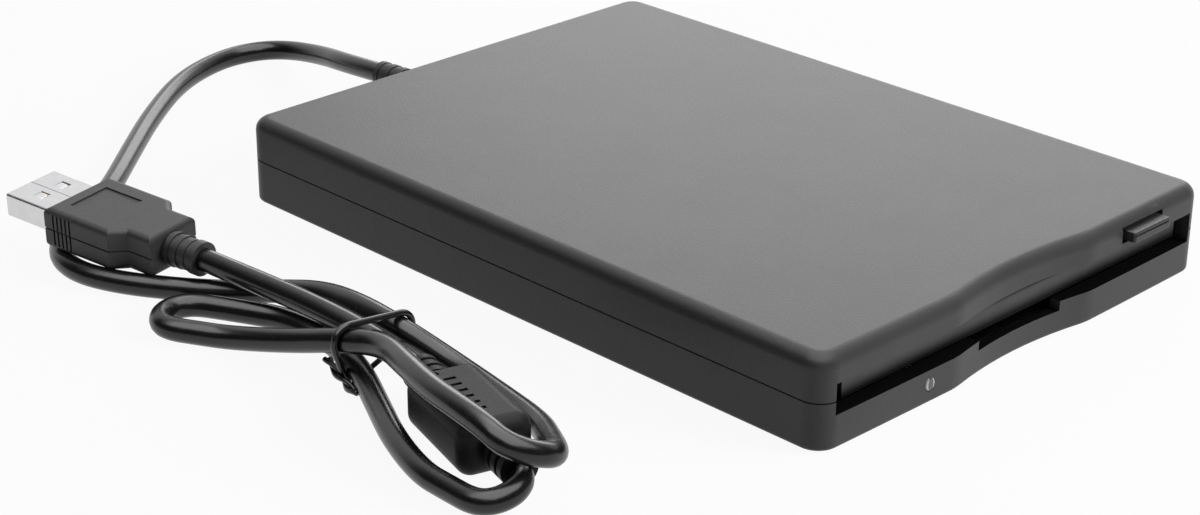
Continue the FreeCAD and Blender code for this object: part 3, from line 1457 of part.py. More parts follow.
def lay_plug(shape):
    """Turn a piece from the plug's own frame (X along the cord, Z up) to where the plug lies."""
    laid = shape.copy()
    laid.rotate(V(0, 0, 0), V(1, 0, 0), plug_roll)
    laid.rotate(V(0, 0, 0), V(0, 1, 0), plug_pitch)
    laid.rotate(V(0, 0, 0), V(0, 0, 1), plug_turn - 90)
    laid.translate(V(*plug_at))
    return laid


def plug_tail():
    """Length of the moulding up to its own strain relief."""
    return plug_len + plug_taper + plug_rear_len


def plug_outline(inset):
    """Corners of the moulding seen from above, its long sides moved in."""
    w, neck, tail = plug_w / 2 - inset, plug_rear_w / 2 - inset, plug_tail()
    return [(0, -w), (plug_len, -w), (plug_len + plug_taper, -neck), (tail, -neck),
            (tail, neck), (plug_len + plug_taper, neck), (plug_len, w), (0, w)]


def plug_body():
    w, h, tail = plug_w / 2, plug_h / 2, plug_tail()
    body = plate(plug_outline(0), -h, h)
    body = body.makeFillet(plug_edge_r, [e for e in body.Edges if e.BoundBox.ZLength < 1e-3])
    end = tail + plug_relief_len
    core = Part.makeCone(plug_relief_r - relief_step, cord_r + plug_relief_wall, plug_relief_len,
                         V(tail, 0, 0), V(1, 0, 0))
    parts = [body, core]
    for i in range(plug_relief_ribs):
        x = tail + plug_rib_gap / 2 + i * (plug_rib + plug_rib_gap)
        parts.append(Part.makeCylinder(plug_relief_r - 0.15 * i, plug_rib, V(x, 0, 0), V(1, 0, 0)))
    parts.append(Part.makeCylinder(plug_relief_r - 0.1, plug_collar, V(end - plug_collar, 0, 0), V(1, 0, 0)))
    moulding = join(parts)
    panel = box(panel_x0, panel_x1, -panel_half, panel_half, h - panel_deep, h + 1)
    mouth = box(-1, shell_inside, -shell_w / 2 - fit_gap, shell_w / 2 + fit_gap,
                -shell_h / 2 - fit_gap, shell_h / 2 + fit_gap)
    seam = box(0, tail, -w - 1, w + 1, -plug_seam_w / 2, plug_seam_w / 2)
    cuts = [panel, mouth, seam.cut(plate(plug_outline(plug_seam_deep), -h, h))]
    for side in (-1, 1):
        y0, y1 = sorted((side * (w - grip_deep), side * (w + 1)))
        for i in range(grips):
            x = grip_start + i * grip_pitch
            cuts.append(box(x, x + grip_w, y0, y1, -h + grip_margin, h - grip_margin))
    return lay_plug(remove(moulding, cuts))


def plug_shell():
    w, h = shell_w / 2, shell_h / 2
    outer = box(-shell_len, shell_inside, -w, w, -h, h)
    outer = outer.makeFillet(shell_r, [e for e in outer.Edges if e.BoundBox.XLength > 1])
    win, hin = w - shell_t, h - shell_t
    shell = outer.cut(box(-shell_len - 1, shell_inside + 1, -win, win, -hin, hin))
    x = -shell_window_x
    windows = []
    for y in (-shell_window_y, shell_window_y):
        windows.append(box(x - shell_window / 2, x + shell_window / 2, y - shell_window / 2,
                           y + shell_window / 2, -h - 1, h + 1))
    return lay_plug(remove(shell, windows))


def plug_tongue():
    h = shell_h / 2 - shell_t
    half = tongue_w / 2
    tongue = box(-shell_len + 0.4, shell_inside, -half, half, -h, -h + tongue_t)
    grooves = [box(-shell_len + 1.2, -shell_len + 1.2 + contact_len, y - contact_w / 2, y + contact_w / 2,
                   -h + tongue_t - contact_t, -h + tongue_t + 1) for y in contact_x]
    block = box(-1.5, shell_inside, -half, half, -h, h)
    return lay_plug(remove(join([tongue, block]), grooves))


def plug_contacts():
    h = shell_h / 2 - shell_t
    top = -h + tongue_t
    x0 = -shell_len + 1.2
    return [lay_plug(box(x0, x0 + contact_len, y - contact_w / 2, y + contact_w / 2,
                         top - contact_t, top + 0.05)) for y in contact_x]


def noise_choke(cord):
    """Moulded body with a ribbed strain relief at each end, bored for the cord."""
    half = choke_len / 2
    body = box(-half, half, -choke_w / 2, choke_w / 2, -choke_h / 2, choke_h / 2)
    body = body.makeFillet(choke_edge_r, body.Edges)
    parts = [body]
    for side in (-1, 1):
        x0, x1 = sorted((side * (half - 0.5), side * (half + choke_relief_len)))
        parts.append(Part.makeCylinder(choke_relief_r - choke_rib_step, x1 - x0, V(x0, 0, 0), V(1, 0, 0)))
        for i in range(choke_relief_ribs):
            x = half + choke_rib_gap + i * (choke_rib + choke_rib_gap)
            x0, x1 = sorted((side * x, side * (x + choke_rib)))
            parts.append(Part.makeCylinder(choke_relief_r, x1 - x0, V(x0, 0, 0), V(1, 0, 0)))
    choke = join(parts)
    top = choke_h / 2
    cuts = [Part.makeCylinder(choke_mark_r, 1.0, V(choke_mark_x, choke_groove_y0 / 2, top - choke_mark_deep))]
    for i in range(choke_grooves):
        x = choke_groove_x + i * choke_groove_pitch
        cuts.append(box(x, x + choke_groove_w, choke_groove_y0, choke_groove_y1,
                        top - choke_groove_deep, top + 1))
    choke = remove(choke, cuts)
    turn = math.degrees(math.atan2(choke_dir[1], choke_dir[0]))
    choke.rotate(V(0, 0, 0), V(0, 0, 1), turn)
    choke.translate(V(*choke_at))
    return choke.cut(cord)


def twist_tie():
    """Flat strip round the four strands of the hank."""
    spots = []
    for a, b in zip(cord_route, cord_route[1:]):
        if (a[1] - tie_y) * (b[1] - tie_y) < 0 and a[0] < -cord_r and a[1] < case_y:
            k = (tie_y - a[1]) / (b[1] - a[1])
            spots.append((a[0] + k * (b[0] - a[0]), a[2] + k * (b[2] - a[2])))
    inner = hull_face(spots, cord_r + tie_gap)
    outer = hull_face(spots, cord_r + tie_gap + tie_t)
    ring = outer.extrude(V(0, tie_w, 0)).cut(inner.extrude(V(0, tie_w, 0)))
    ring.translate(V(0, tie_y - tie_w / 2, 0))
    return ring


def hull_face(spots, r):
    """Face in the XZ plane: the tight outline round circles of one radius."""
    middle = (sum(p[0] for p in spots) / len(spots), sum(p[1] for p in spots) / len(spots))
    order = sorted(spots, key=lambda p: math.atan2(p[1] - middle[1], p[0] - middle[0]))
    keep = [p for i, p in enumerate(order) if is_corner(order[i - 1], p, order[(i + 1) % len(order)])]
    edges = []
    for i, p in enumerate(keep):
        q, n = keep[i - 1], keep[(i + 1) % len(keep)]
        a, b = edge_normal(q, p), edge_normal(p, n)
        bisector = ((a[0] + b[0]), (a[1] + b[1]))
        size = math.hypot(*bisector)
        mid = (bisector[0] / size, bisector[1] / size)
        arc = [V(p[0] + u * r, 0, p[1] + w * r) for u, w in (a, mid, b)]
        edges.append(Part.Arc(*arc).toShape())
        edges.append(Part.makeLine(arc[2], V(n[0] + b[0] * r, 0, n[1] + b[1] * r)))
    return Part.Face(Part.Wire(Part.__sortEdges__(edges)))


def is_corner(a, b, c):
    return (b[0] - a[0]) * (c[1] - b[1]) - (b[1] - a[1]) * (c[0] - b[0]) > 1e-9


def edge_normal(a, b):
    """Outward normal of the edge from a to b, corners taken anticlockwise."""
    run = (b[0] - a[0], b[1] - a[1])
    size = math.hypot(*run)
    return run[1] / size, -run[0] / size


# ---------------------------------------------------------------- write the nodes
def write(name, shape):
    """One STEP file per node, moved to the object's origin."""
    solids = shape if isinstance(shape, list) else [shape]
    whole = solids[0] if len(solids) == 1 else Part.makeCompound(solids)
    whole = whole.copy()
    whole.translate(V(0, origin_shift, 0))
    if not whole.isValid():
        print("NOT VALID", name)
    print("%-20s solids %2d volume %9.1f" % (name, len(whole.Solids), whole.Volume))
    whole.exportStep("parts/%s.step" % name)


def build():
    os.makedirs("parts", exist_ok=True)
    block = case_block()
    cord = usb_cord()
    nodes = {
        "bottom_case": bottom_case(block),
        "top_cover": top_cover(block),
        "rubber_feet": rubber_feet(),
        "case_screws": case_screws(),
        "led_lens": led_lens(),
        "led_lamp": led_lamp(),
        "led_board": led_board(),
        "dust_flap": dust_flap(),
        "flap_spring": flap_spring(),
        "chassis_frame": chassis_frame(),
        "inner_screws": inner_screws(),
        "top_shield": top_shield(),
        "slide_guides": slide_guides(),
        "slide_plate": slide_plate(),
        "eject_button": eject_button(),
        "eject_springs": eject_springs(),
        "disk_cage": disk_cage(),
        "cage_pins": cage_pins(),
        "latch_lever": latch_lever(),
        "latch_pivot": latch_pivot(),
        "motor_board": motor_board(),
        "spindle_bearing": spindle_bearing(),
        "stator_core": stator_core(),
        "stator_coils": stator_coils(),
        "rotor_cup": rotor_cup(),
        "rotor_magnet": rotor_magnet(),
        "spindle_shaft": spindle_shaft(),
        "hub_plate": hub_plate(),
        "drive_pin": drive_pin(),
        "guide_rods": guide_rods(),
        "rail_cradles": rail_cradles(),
        "head_carriage": head_carriage(),
        "lower_head": lower_head(),
        "upper_arm": upper_arm(),
        "upper_head": upper_head(),
        "arm_pivot": arm_pivot(),
        "track_sensor": track_sensor(),
        "stepper_can": stepper_can(),
        "stepper_bracket": stepper_bracket(),
        "lead_screw": lead_screw(),
        "screw_bearing": screw_bearing(),
        "control_board": control_board(),
        "chips": chips(),
        "ribbon_connectors": ribbon_connectors(),
        "ribbon_cable": ribbon_cable(),
        "bridge_board": bridge_board(),
        "board_parts": board_parts(),
        "switch_bodies": switch_bodies(),
        "write_protect_plunger": plunger(0),
        "density_plunger": plunger(1),
        "disk_present_plunger": plunger(2),
        "cord_leads": cord_leads(),
        "strain_relief": strain_relief(),
        "usb_cord": cord,
        "noise_choke": noise_choke(cord),
        "twist_tie": twist_tie(),
        "plug_body": plug_body(),
        "plug_shell": plug_shell(),
        "plug_tongue": plug_tongue(),
        "plug_contacts": plug_contacts(),
    }
    for name, shape in nodes.items():
        write(name, shape)


build()
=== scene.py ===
# %% [markdown]
# # A slim external disk drive
#
# The object is a flat charcoal drive for 3.5 inch disks. It has a moulded case of two
# shells, a slot with a finger recess, an eject button, and a USB cord folded into a hank.
# The hard parts come from the CAD model. This lesson gives each of them its material,
# and builds what a CAD solid shows poorly: the soft cord, its twist tie, the small sprung
# tongues of the plug's steel shell, and two springs that have to close up.
#
# All lengths are in metres. The places of the camera, the cord and the plug are given in
# the case's own frame, which lies a little behind the model's, so they are shifted by that.

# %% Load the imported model
import math

import bpy
import numpy as np
from mathutils import Matrix


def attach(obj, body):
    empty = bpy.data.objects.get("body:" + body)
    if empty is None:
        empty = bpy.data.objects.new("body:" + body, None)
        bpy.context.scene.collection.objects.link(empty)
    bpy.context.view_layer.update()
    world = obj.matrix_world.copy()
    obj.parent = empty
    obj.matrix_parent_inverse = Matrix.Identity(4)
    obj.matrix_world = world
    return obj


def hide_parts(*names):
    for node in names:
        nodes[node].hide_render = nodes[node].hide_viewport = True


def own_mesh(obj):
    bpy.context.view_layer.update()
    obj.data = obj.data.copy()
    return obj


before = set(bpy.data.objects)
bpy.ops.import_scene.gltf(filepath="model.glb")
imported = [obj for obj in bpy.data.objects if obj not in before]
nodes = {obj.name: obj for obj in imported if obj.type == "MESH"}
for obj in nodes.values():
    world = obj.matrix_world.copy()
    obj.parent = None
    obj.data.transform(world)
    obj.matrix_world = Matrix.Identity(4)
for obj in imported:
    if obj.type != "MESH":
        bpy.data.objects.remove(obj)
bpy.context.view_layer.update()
scene = bpy.context.scene
scene.view_settings.view_transform = "Standard"
mm = 0.001
case_shift = np.array([0.0, 0.9, 0.0]) * mm

# %% [markdown]
# ## Where we stand
#
# A camera needs a place, a direction and a lens. We look down on the left front corner,
# from a little under half a metre away. The matrix below holds the camera's right, up and
# backward directions as its columns, which is all that a camera's pose is. A small roll
# levels the picture as a hand-held camera would have it.

# %% The camera
eye = np.array([-320.8, -294.7, 191.7]) * mm + case_shift
azimuth, elevation, roll = (math.radians(a) for a in (44.76, -24.3, 0.39))
focal_pixels, picture_width, sensor_mm = 2590.0, 1200.0, 36.0
near_limit, far_limit = 0.01, 20.0

forward = np.array([math.sin(azimuth) * math.cos(elevation),
                    math.cos(azimuth) * math.cos(elevation),
                    math.sin(elevation)])
level_right = np.cross(forward, [0, 0, 1])
level_right /= np.linalg.norm(level_right)
level_up = np.cross(level_right, forward)
right = level_right * math.cos(roll) + level_up * math.sin(roll)
up = level_up * math.cos(roll) - level_right * math.sin(roll)

camera_data = bpy.data.cameras.new("camera")
camera_data.sensor_width = sensor_mm
camera_data.lens = sensor_mm * focal_pixels / picture_width
camera_data.clip_start, camera_data.clip_end = near_limit, far_limit
camera = bpy.data.objects.new("camera", camera_data)
scene.collection.objects.link(camera)
pose = np.eye(4)
pose[:3, 0], pose[:3, 1], pose[:3, 2], pose[:3, 3] = right, up, -forward, eye
camera.matrix_world = Matrix(pose.tolist())
scene.camera = camera
print("lens %.1f mm" % camera_data.lens)

# %% [markdown]
# ## The cord's line
#
# A cord is a fixed length of something bendy. Its shape is one smooth curve through a
# short list of points: out of the case's rear, round on the table, and folded back and
# forth into a hank that ends in the plug. A NURBS spline of order 3 cuts gently inside
# each corner of that list, as a real cord does. The bevel gives the curve its thickness.

# %% The cord
cord_radius = 2.05 * mm
cord_route = [
    (-4, 88, 9), (-3.2, 99.5, 7.8), (1, 113.7, 5), (1.5, 126, 2.9),
    (-2.9, 132.2, 2.05), (-12.2, 132.8, 2.05), (-25.8, 127.7, 2.05), (-41.6, 115.6, 2.05),
    (-56, 102.5, 2.05), (-71.1, 88.5, 2.05), (-82.6, 80.7, 2.05), (-89.6, 76.1, 2.05),
    (-94.3, 69.7, 2.05), (-95.4, 61.9, 2.05), (-92.5, 53.4, 2.05), (-87, 44.6, 2.05),
    (-81, 37.2, 2.05), (-75.1, 30.5, 2.6), (-73.4, 21.1, 5), (-74.5, 9.9, 6.6),
    (-75.4, -0.9, 6.6), (-72.8, -9.2, 3.2), (-73.8, -23.4, 2.05), (-77.3, -36.2, 3.2),
    (-82.4, -44.2, 4.9), (-86.1, -49.2, 6.3), (-89.3, -50.4, 7.7), (-92.7, -49.3, 9.1),
    (-94.7, -46.5, 10.4), (-94.4, -42.7, 11.3), (-93.6, -36.1, 11.7), (-91.8, -27.2, 11.3),
    (-88.7, -18.4, 10.6), (-84.2, -7.5, 9), (-86.5, 1, 7.5), (-88.6, 10.7, 4.6),
    (-92, 22.7, 2.05), (-94.9, 28.1, 2.05), (-97.4, 32.9, 2.05), (-96.9, 36.1, 2.05),
    (-94.6, 38.5, 2.05), (-91.4, 39, 2.05), (-88.5, 37.5, 2.05), (-86.1, 33.1, 2.05),
    (-83.6, 28, 2.05), (-81.4, 23.4, 2.05), (-80.7, 15.4, 2.3), (-82.6, 6, 2.95),
    (-85, -2.5, 2.5), (-90.1, -12.5, 2.05), (-95.7, -23.2, 2.05), (-99.5, -33.9, 2.05),
    (-99.7, -40, 2.05), (-100, -46.3, 2.2), (-97.9, -48.9, 2.7), (-94.5, -49.5, 3.4),
    (-91.6, -47.7, 4.1), (-90.1, -42.5, 4.6), (-87.8, -34.3, 4.7), (-84.9, -24.8, 4.8),
    (-81.5, -14.3, 4.9), (-80.3, 0.5, 6.3), (-80.6, 13.5, 6.9), (-81.4, 27, 6.9),
    (-82.94, 42.15, 7.22),
]
route = np.array(cord_route) * mm + case_shift

cord_curve = bpy.data.curves.new("cord", "CURVE")
cord_curve.dimensions = "3D"
spline = cord_curve.splines.new("NURBS")
spline.points.add(len(route) - 1)
spline.points.foreach_set("co", np.column_stack([route, np.ones(len(route))]).ravel())
spline.order_u = 3
spline.use_endpoint_u = True
spline.resolution_u = 10
cord_curve.bevel_depth = cord_radius
cord_curve.bevel_resolution = 7
cord_curve.use_fill_caps = True
cord = bpy.data.objects.new("cord", cord_curve)
scene.collection.objects.link(cord)
print("cord points", len(route))

# %% [markdown]
# ## How long the cord is
#
# The list of points isn't the cord: the curve cuts its corners. So we ask Blender for the
# curve's own line, from a copy without thickness, and add up its short straight steps. The
# same line tells us later where the tie has to go.

# %% The cord's middle line


def line_of(curve):
    """The curve's own line as an array of points, taken from a copy with no thickness."""
    bare = curve.copy()
    bare.bevel_depth = 0
    holder = bpy.data.objects.new("bare_line", bare)
    mesh = bpy.data.meshes.new_from_object(holder)
    line = np.zeros(len(mesh.vertices) * 3)
    mesh.vertices.foreach_get("co", line)
    bpy.data.objects.remove(holder)
    return line.reshape(-1, 3)


cord_line = line_of(cord_curve)
cord_length = np.linalg.norm(np.diff(cord_line, axis=0), axis=1).sum()
print("cord length %.3f m along its curve" % cord_length)

# %% [markdown]
# ## Writing shaders as sums
#
# A shader is a graph. Each node takes sockets or plain numbers in, and gives new sockets.
# The first two functions add a node and feed it, so that a graph reads like a sum. The
# others are the few steps that nearly every material here needs.

# %% Shader helpers


def feed(tree, target, inputs):
    """Give a node's inputs their values: a socket is linked, and anything else is set."""
    for key, value in inputs.items():
        if isinstance(value, bpy.types.NodeSocket):
            tree.links.new(value, target.inputs[key])
        else:
            target.inputs[key].default_value = value


def node(tree, kind, inputs, output=0, **settings):
    """Add a node with those inputs and settings, and return one of its outputs."""
    made = tree.nodes.new(kind)
    for name, value in settings.items():
        setattr(made, name, value)
    feed(tree, made, inputs)
    return made.outputs[output]


def between(tree, factor, low, high):
    """A socket that runs from low to high as the factor goes from 0 to 1."""
    return node(tree, "ShaderNodeMapRange", {"Value": factor, "To Min": low, "To Max": high})


def rise(tree, value, start, full, way="LINEAR"):
    """A socket that runs from 0 to 1 as the value goes from start to full."""
    return node(tree, "ShaderNodeMapRange", {"Value": value, "From Min": start, "From Max": full},
                interpolation_type=way)


def seen_directly(tree):
    """1 for rays from the camera, mirrors and glass, and 0 for the light on matt things."""
    rays = tree.nodes.new("ShaderNodeLightPath").outputs
    either = node(tree, "ShaderNodeMath", {0: rays["Is Camera Ray"], 1: rays["Is Glossy Ray"]},
                  operation="MAXIMUM")
    return node(tree, "ShaderNodeMath", {0: either, 1: rays["Is Transmission Ray"]}, operation="MAXIMUM")


print("shader helpers ready")

# %% [markdown]
# ## The room
#
# A dark plastic shows itself by what it mirrors. The camera looks towards the far corner
# of the room, so the top of the case, seen at a low angle, mirrors that side. That side is
# white, and the rest of the room is nearly black for mirrors, which keeps the case's near
# faces dark and lets its rounded edges show as a band. For the light on matt things the
# room is an even pale grey.

# %% The room
light_on_matt = 0.25
mirrored_dark, mirrored_white = 0.06, 1.0
far_way = (0.707, 0.707, 0.0)
wall_starts, wall_full = 0.25, 0.65

world = bpy.data.worlds.new("room")
scene.world = world
world.use_nodes = True
tree = world.node_tree
direction = node(tree, "ShaderNodeTexCoord", {}, "Generated")
share = node(tree, "ShaderNodeVectorMath", {0: direction, 1: far_way}, "Value", operation="DOT_PRODUCT")
far_wall = rise(tree, share, wall_starts, wall_full, "SMOOTHSTEP")
mirrored = between(tree, far_wall, mirrored_dark, mirrored_white)
feed(tree, tree.nodes["Background"], {
    "Color": (1, 1, 1, 1),
    "Strength": between(tree, seen_directly(tree), light_on_matt, mirrored),
})
print("room in mirrors from %.2f to %.2f" % (mirrored_dark, mirrored_white))

# %% [markdown]
# ## The table
#
# The table is one large pale sheet just under the feet. It turns whiter than the lamps make
# it for the camera and for mirrors alone, and keeps part of the soft shadow. Nothing of
# that extra white falls on the object as light.

# %% The table
table_reach, table_drop = 4.0, 0.1 * mm
table_paint, table_white = (0.85, 0.85, 0.85, 1), 0.93

table_mesh = bpy.data.meshes.new("table")
corners = [(x * table_reach, y * table_reach, -table_drop) for x, y in ((-1, -1), (1, -1), (1, 1), (-1, 1))]
table_mesh.from_pydata(corners, [], [(0, 1, 2, 3)])
table = bpy.data.objects.new("table", table_mesh)
scene.collection.objects.link(table)

white = bpy.data.materials.new("white table")
white.use_nodes = True
tree = white.node_tree
tree.nodes.clear()
feed(tree, tree.nodes.new("ShaderNodeOutputMaterial"), {"Surface": node(tree, "ShaderNodeMixShader", {
    0: between(tree, seen_directly(tree), 0.0, table_white),
    1: node(tree, "ShaderNodeBsdfDiffuse", {"Color": table_paint}),
    2: node(tree, "ShaderNodeEmission", {}),
})})
table_mesh.materials.append(white)
print("table %.0f m across" % (2 * table_reach))

# %% [markdown]
# ## Lamps
#
# A large lamp at the front right lights the front more than the side. A weaker one behind
# fills the far edges. A wide panel overhead is there for mirrors alone: it lays the long
# soft highlights along the cord. The front lamp is left out of the mirrors instead, as it
# would draw a hard streak on the front's rounded edge.

# %% Lamps


def soft_lamp(name, place, aim, wide, high, watts):
    """A flat lamp of that width and height in metres, turned so that it faces its aim."""
    data = bpy.data.lights.new(name, "AREA")
    data.shape = "RECTANGLE"
    data.size, data.size_y, data.energy = wide, high, watts
    lamp = bpy.data.objects.new(name, data)
    scene.collection.objects.link(lamp)
    away = np.array(place, float) - np.array(aim, float)
    away /= np.linalg.norm(away)
    across = np.cross([0, 0, 1], away)
    across /= np.linalg.norm(across)
    turn = np.eye(4)
    turn[:3, 0], turn[:3, 1], turn[:3, 2] = across, np.cross(away, across), away
    turn[:3, 3] = place
    lamp.matrix_world = Matrix(turn.tolist())
    return lamp


drive_middle = (0, 0, 0)
front_lamp = soft_lamp("front lamp", (0.7, -1.15, 0.55), drive_middle, wide=0.8, high=0.6, watts=30.0)
front_lamp.visible_glossy = False
back_lamp = soft_lamp("back lamp", (1.4, 1.02, 0.62), drive_middle, wide=1.2, high=0.75, watts=8.5)
panel = soft_lamp("panel overhead", (-0.2, -0.201, 1.2), (-0.2, -0.2, 0), wide=2.0, high=2.0, watts=48.0)
panel.visible_diffuse = False
panel.visible_camera = False
print("lamps", [lamp.name for lamp in (front_lamp, back_lamp, panel)])

# %% [markdown]
# ## Where a mark lies
#
# A pattern needs coordinates. Those of the piece itself make its marks stay on it when it
# moves. Where a piece lies turned, or a mark belongs to a rod's axis, a frame of our own
# is handier: its middle, its turns, and its unit length along each axis. The materials are
# kept in one dictionary, by name.

# %% Materials and their coordinates
looks = {}


def new_material(name):
    """An empty Principled material: its node tree and its shader."""
    material = bpy.data.materials.new(name)
    material.use_nodes = True
    looks[name] = material
    return material.node_tree, material.node_tree.nodes["Principled BSDF"]


def place_on_piece(tree, stretch=(1, 1, 1)):
    """Coordinates of the piece itself, stretched along its axes."""
    where = node(tree, "ShaderNodeTexCoord", {}, "Object")
    return node(tree, "ShaderNodeMapping", {"Vector": where, "Scale": stretch})


def place_in_frame(tree, middle, turns=(0, 0, 0), lengths=(1, 1, 1)):
    """Coordinates in a frame of our own on the piece: its middle, its turns and its unit lengths."""
    where = node(tree, "ShaderNodeTexCoord", {}, "Object")
    return node(tree, "ShaderNodeMapping", {"Vector": where, "Location": middle, "Rotation": turns,
                                            "Scale": lengths}, vector_type="TEXTURE")


def off_axis(tree, vector, axis):
    """How far a point is from 0 along one axis, on either side."""
    along = node(tree, "ShaderNodeSeparateXYZ", {"Vector": vector}, axis)
    return node(tree, "ShaderNodeMath", {0: along}, operation="ABSOLUTE")


def box_of(name):
    """The lowest and highest corner of a CAD node."""
    box = np.array([corner[:] for corner in nodes[name].bound_box])
    return box.min(axis=0), box.max(axis=0)


print("coordinate helpers ready")

# %% [markdown]
# ## Noise, colour and bump
#
# No real surface has one flat colour. A noise gives slow or fine changes of any size, a
# ramp turns them into two close colours, and a bump turns them into tiny hills that break
# up the gloss.

# %% Noise, colours and bump


def noise(tree, where, grain_mm, detail=2.0):
    """Cloudy values from 0 to 1, with features about grain_mm across."""
    return node(tree, "ShaderNodeTexNoise", {"Vector": where, "Scale": 1.0 / (grain_mm * mm),
                                             "Detail": detail}, "Fac")


def two_colours(tree, factor, dark, pale, low=0.3, high=0.7):
    """A colour ramp from dark to pale over the middle of the factor's range."""
    ramp = tree.nodes.new("ShaderNodeValToRGB")
    for stop, position, colour in zip(ramp.color_ramp.elements, (low, high), (dark, pale)):
        stop.position, stop.color = position, (*colour, 1)
    feed(tree, ramp, {"Fac": factor})
    return ramp.outputs["Color"]


def mixed(tree, factor, first, second):
    """The first colour where the factor is 0 and the second where it is 1.

    A Mix node has inputs for each kind of value: 6 and 7 are its colours, and output 2 is theirs.
    """
    return node(tree, "ShaderNodeMix", {0: factor, 6: first, 7: second}, 2, data_type="RGBA")


def bump(tree, height, depth_mm, strength=1.0):
    """Small hills of that depth for the shader's Normal."""
    return node(tree, "ShaderNodeBump", {"Height": height, "Distance": depth_mm * mm, "Strength": strength},
                "Normal")


print("noise and colour helpers ready")

# %% [markdown]
# ## Plastics
#
# The tool that shapes a plastic case is spark-eroded, which leaves a fine grain, and the
# pigment and a little handling make it slightly uneven over some millimetres. So each
# plastic mixes two close colours by a slow noise, breaks up its gloss by a fine one, and
# has the same fine noise as a bump. Rubber and vinyl differ from it only in numbers.

# %% Plastics of the case, cord and mouldings


def moulded(name, dark, pale, rough, grain_mm=0.35, depth_mm=0.012, cloud_mm=14.0, swing=0.05, shine=0.5):
    """A moulded plastic: mottled colour, broken gloss and a fine eroded grain."""
    tree, shader = new_material(name)
    where = place_on_piece(tree)
    fine = noise(tree, where, grain_mm, 3.0)
    feed(tree, shader, {
        "Base Color": two_colours(tree, noise(tree, where, cloud_mm, 3.0), dark, pale),
        "Roughness": between(tree, fine, rough - swing, rough + swing),
        "Normal": bump(tree, fine, depth_mm),
        "Specular IOR Level": shine,
    })


charcoal_dark, charcoal_pale = (0.024, 0.024, 0.0245), (0.030, 0.030, 0.0305)
for name in ("grained case plastic", "lower shell plastic"):
    moulded(name, charcoal_dark, charcoal_pale, rough=0.42, grain_mm=0.32, depth_mm=0.036, cloud_mm=16.0,
            swing=0.10, shine=0.30)
moulded("button plastic", (0.018, 0.018, 0.0185), (0.023, 0.023, 0.0235), rough=0.36, grain_mm=0.3,
        depth_mm=0.01, shine=0.36)
vinyl_grain = {"grain_mm": 0.35, "depth_mm": 0.030, "cloud_mm": 9.0, "swing": 0.08}
moulded("vinyl moulding", (0.019, 0.019, 0.020), (0.026, 0.026, 0.027), rough=0.50, shine=0.40, **vinyl_grain)
moulded("choke vinyl", (0.008, 0.008, 0.008), (0.012, 0.012, 0.012), rough=0.46, shine=0.14, **vinyl_grain)
moulded("cord vinyl", (0.0035, 0.0035, 0.0037), (0.0055, 0.0055, 0.0058), rough=0.26, grain_mm=1.6,
        depth_mm=0.010, cloud_mm=30.0, swing=0.04, shine=0.50)

small_plastics = {  # dark and pale colour, roughness, and grain, depth and clouds in mm
    "foot rubber": ((0.022, 0.022, 0.022), (0.034, 0.034, 0.034), 0.8, 0.25, 0.02),
    "chip plastic": ((0.016, 0.016, 0.018), (0.026, 0.026, 0.028), 0.5, 0.12, 0.004, 3.0),
    "ivory plastic": ((0.66, 0.65, 0.60), (0.74, 0.73, 0.68), 0.42, 0.4, 0.006, 8.0),
    "white plastic": ((0.72, 0.72, 0.70), (0.80, 0.80, 0.78), 0.38, 0.3, 0.005, 6.0),
    "ribbon plastic": ((0.70, 0.70, 0.67), (0.78, 0.78, 0.75), 0.3, 0.5, 0.006, 6.0),
    "head ceramic": ((0.10, 0.10, 0.11), (0.13, 0.13, 0.14), 0.18, 0.2, 0.002, 2.0),
    "magnet ferrite": ((0.035, 0.035, 0.036), (0.055, 0.055, 0.056), 0.6, 0.15, 0.008, 2.0),
}
for name, values in small_plastics.items():
    moulded(name, *values)
print("plastics", len(looks))

# %% [markdown]
# ## The lower shell's floor
#
# Through the slot we see the floor of the lower shell, which lies in the dark. Light from
# the lamps would still find it, so the faces that look up, and those alone, get a painted
# shade of deep dull black. The outer walls look sideways or down, and keep the case's plastic.

# %% The lower shell, darker inside
upward_starts, upward_full = 0.6, 0.9
painted_shade_black = (0.004, 0.004, 0.004, 1)

tree = looks["lower shell plastic"].node_tree
shader = tree.nodes["Principled BSDF"]
facing = node(tree, "ShaderNodeNewGeometry", {}, "True Normal")
# painted shade: faces that point up turn a deep dull black and lose their shine
inside = rise(tree, node(tree, "ShaderNodeSeparateXYZ", {"Vector": facing}, "Z"), upward_starts, upward_full)
skin = shader.inputs["Base Color"].links[0].from_socket
feed(tree, shader, {
    "Base Color": mixed(tree, inside, skin, painted_shade_black),
    "Specular IOR Level": between(tree, inside, 0.30, 0.05),
})
print("lower shell darkens where its faces point up")

# %% [markdown]
# ## The dust flap
#
# The flap hangs behind the slot from a hinge at its top. Its upper part catches light from
# the front, and its lower edge sinks into the shadow of the lip. That shadow is painted
# shade: the colour and the shine rise smoothly with the height on the flap, and a slow
# noise makes the painted shade uneven.

# %% The dust flap
flap_low, flap_high = (corner[2] for corner in box_of("dust_flap"))
black_up_to, shade_fades_out_at = 0.4 * mm, 3.0 * mm

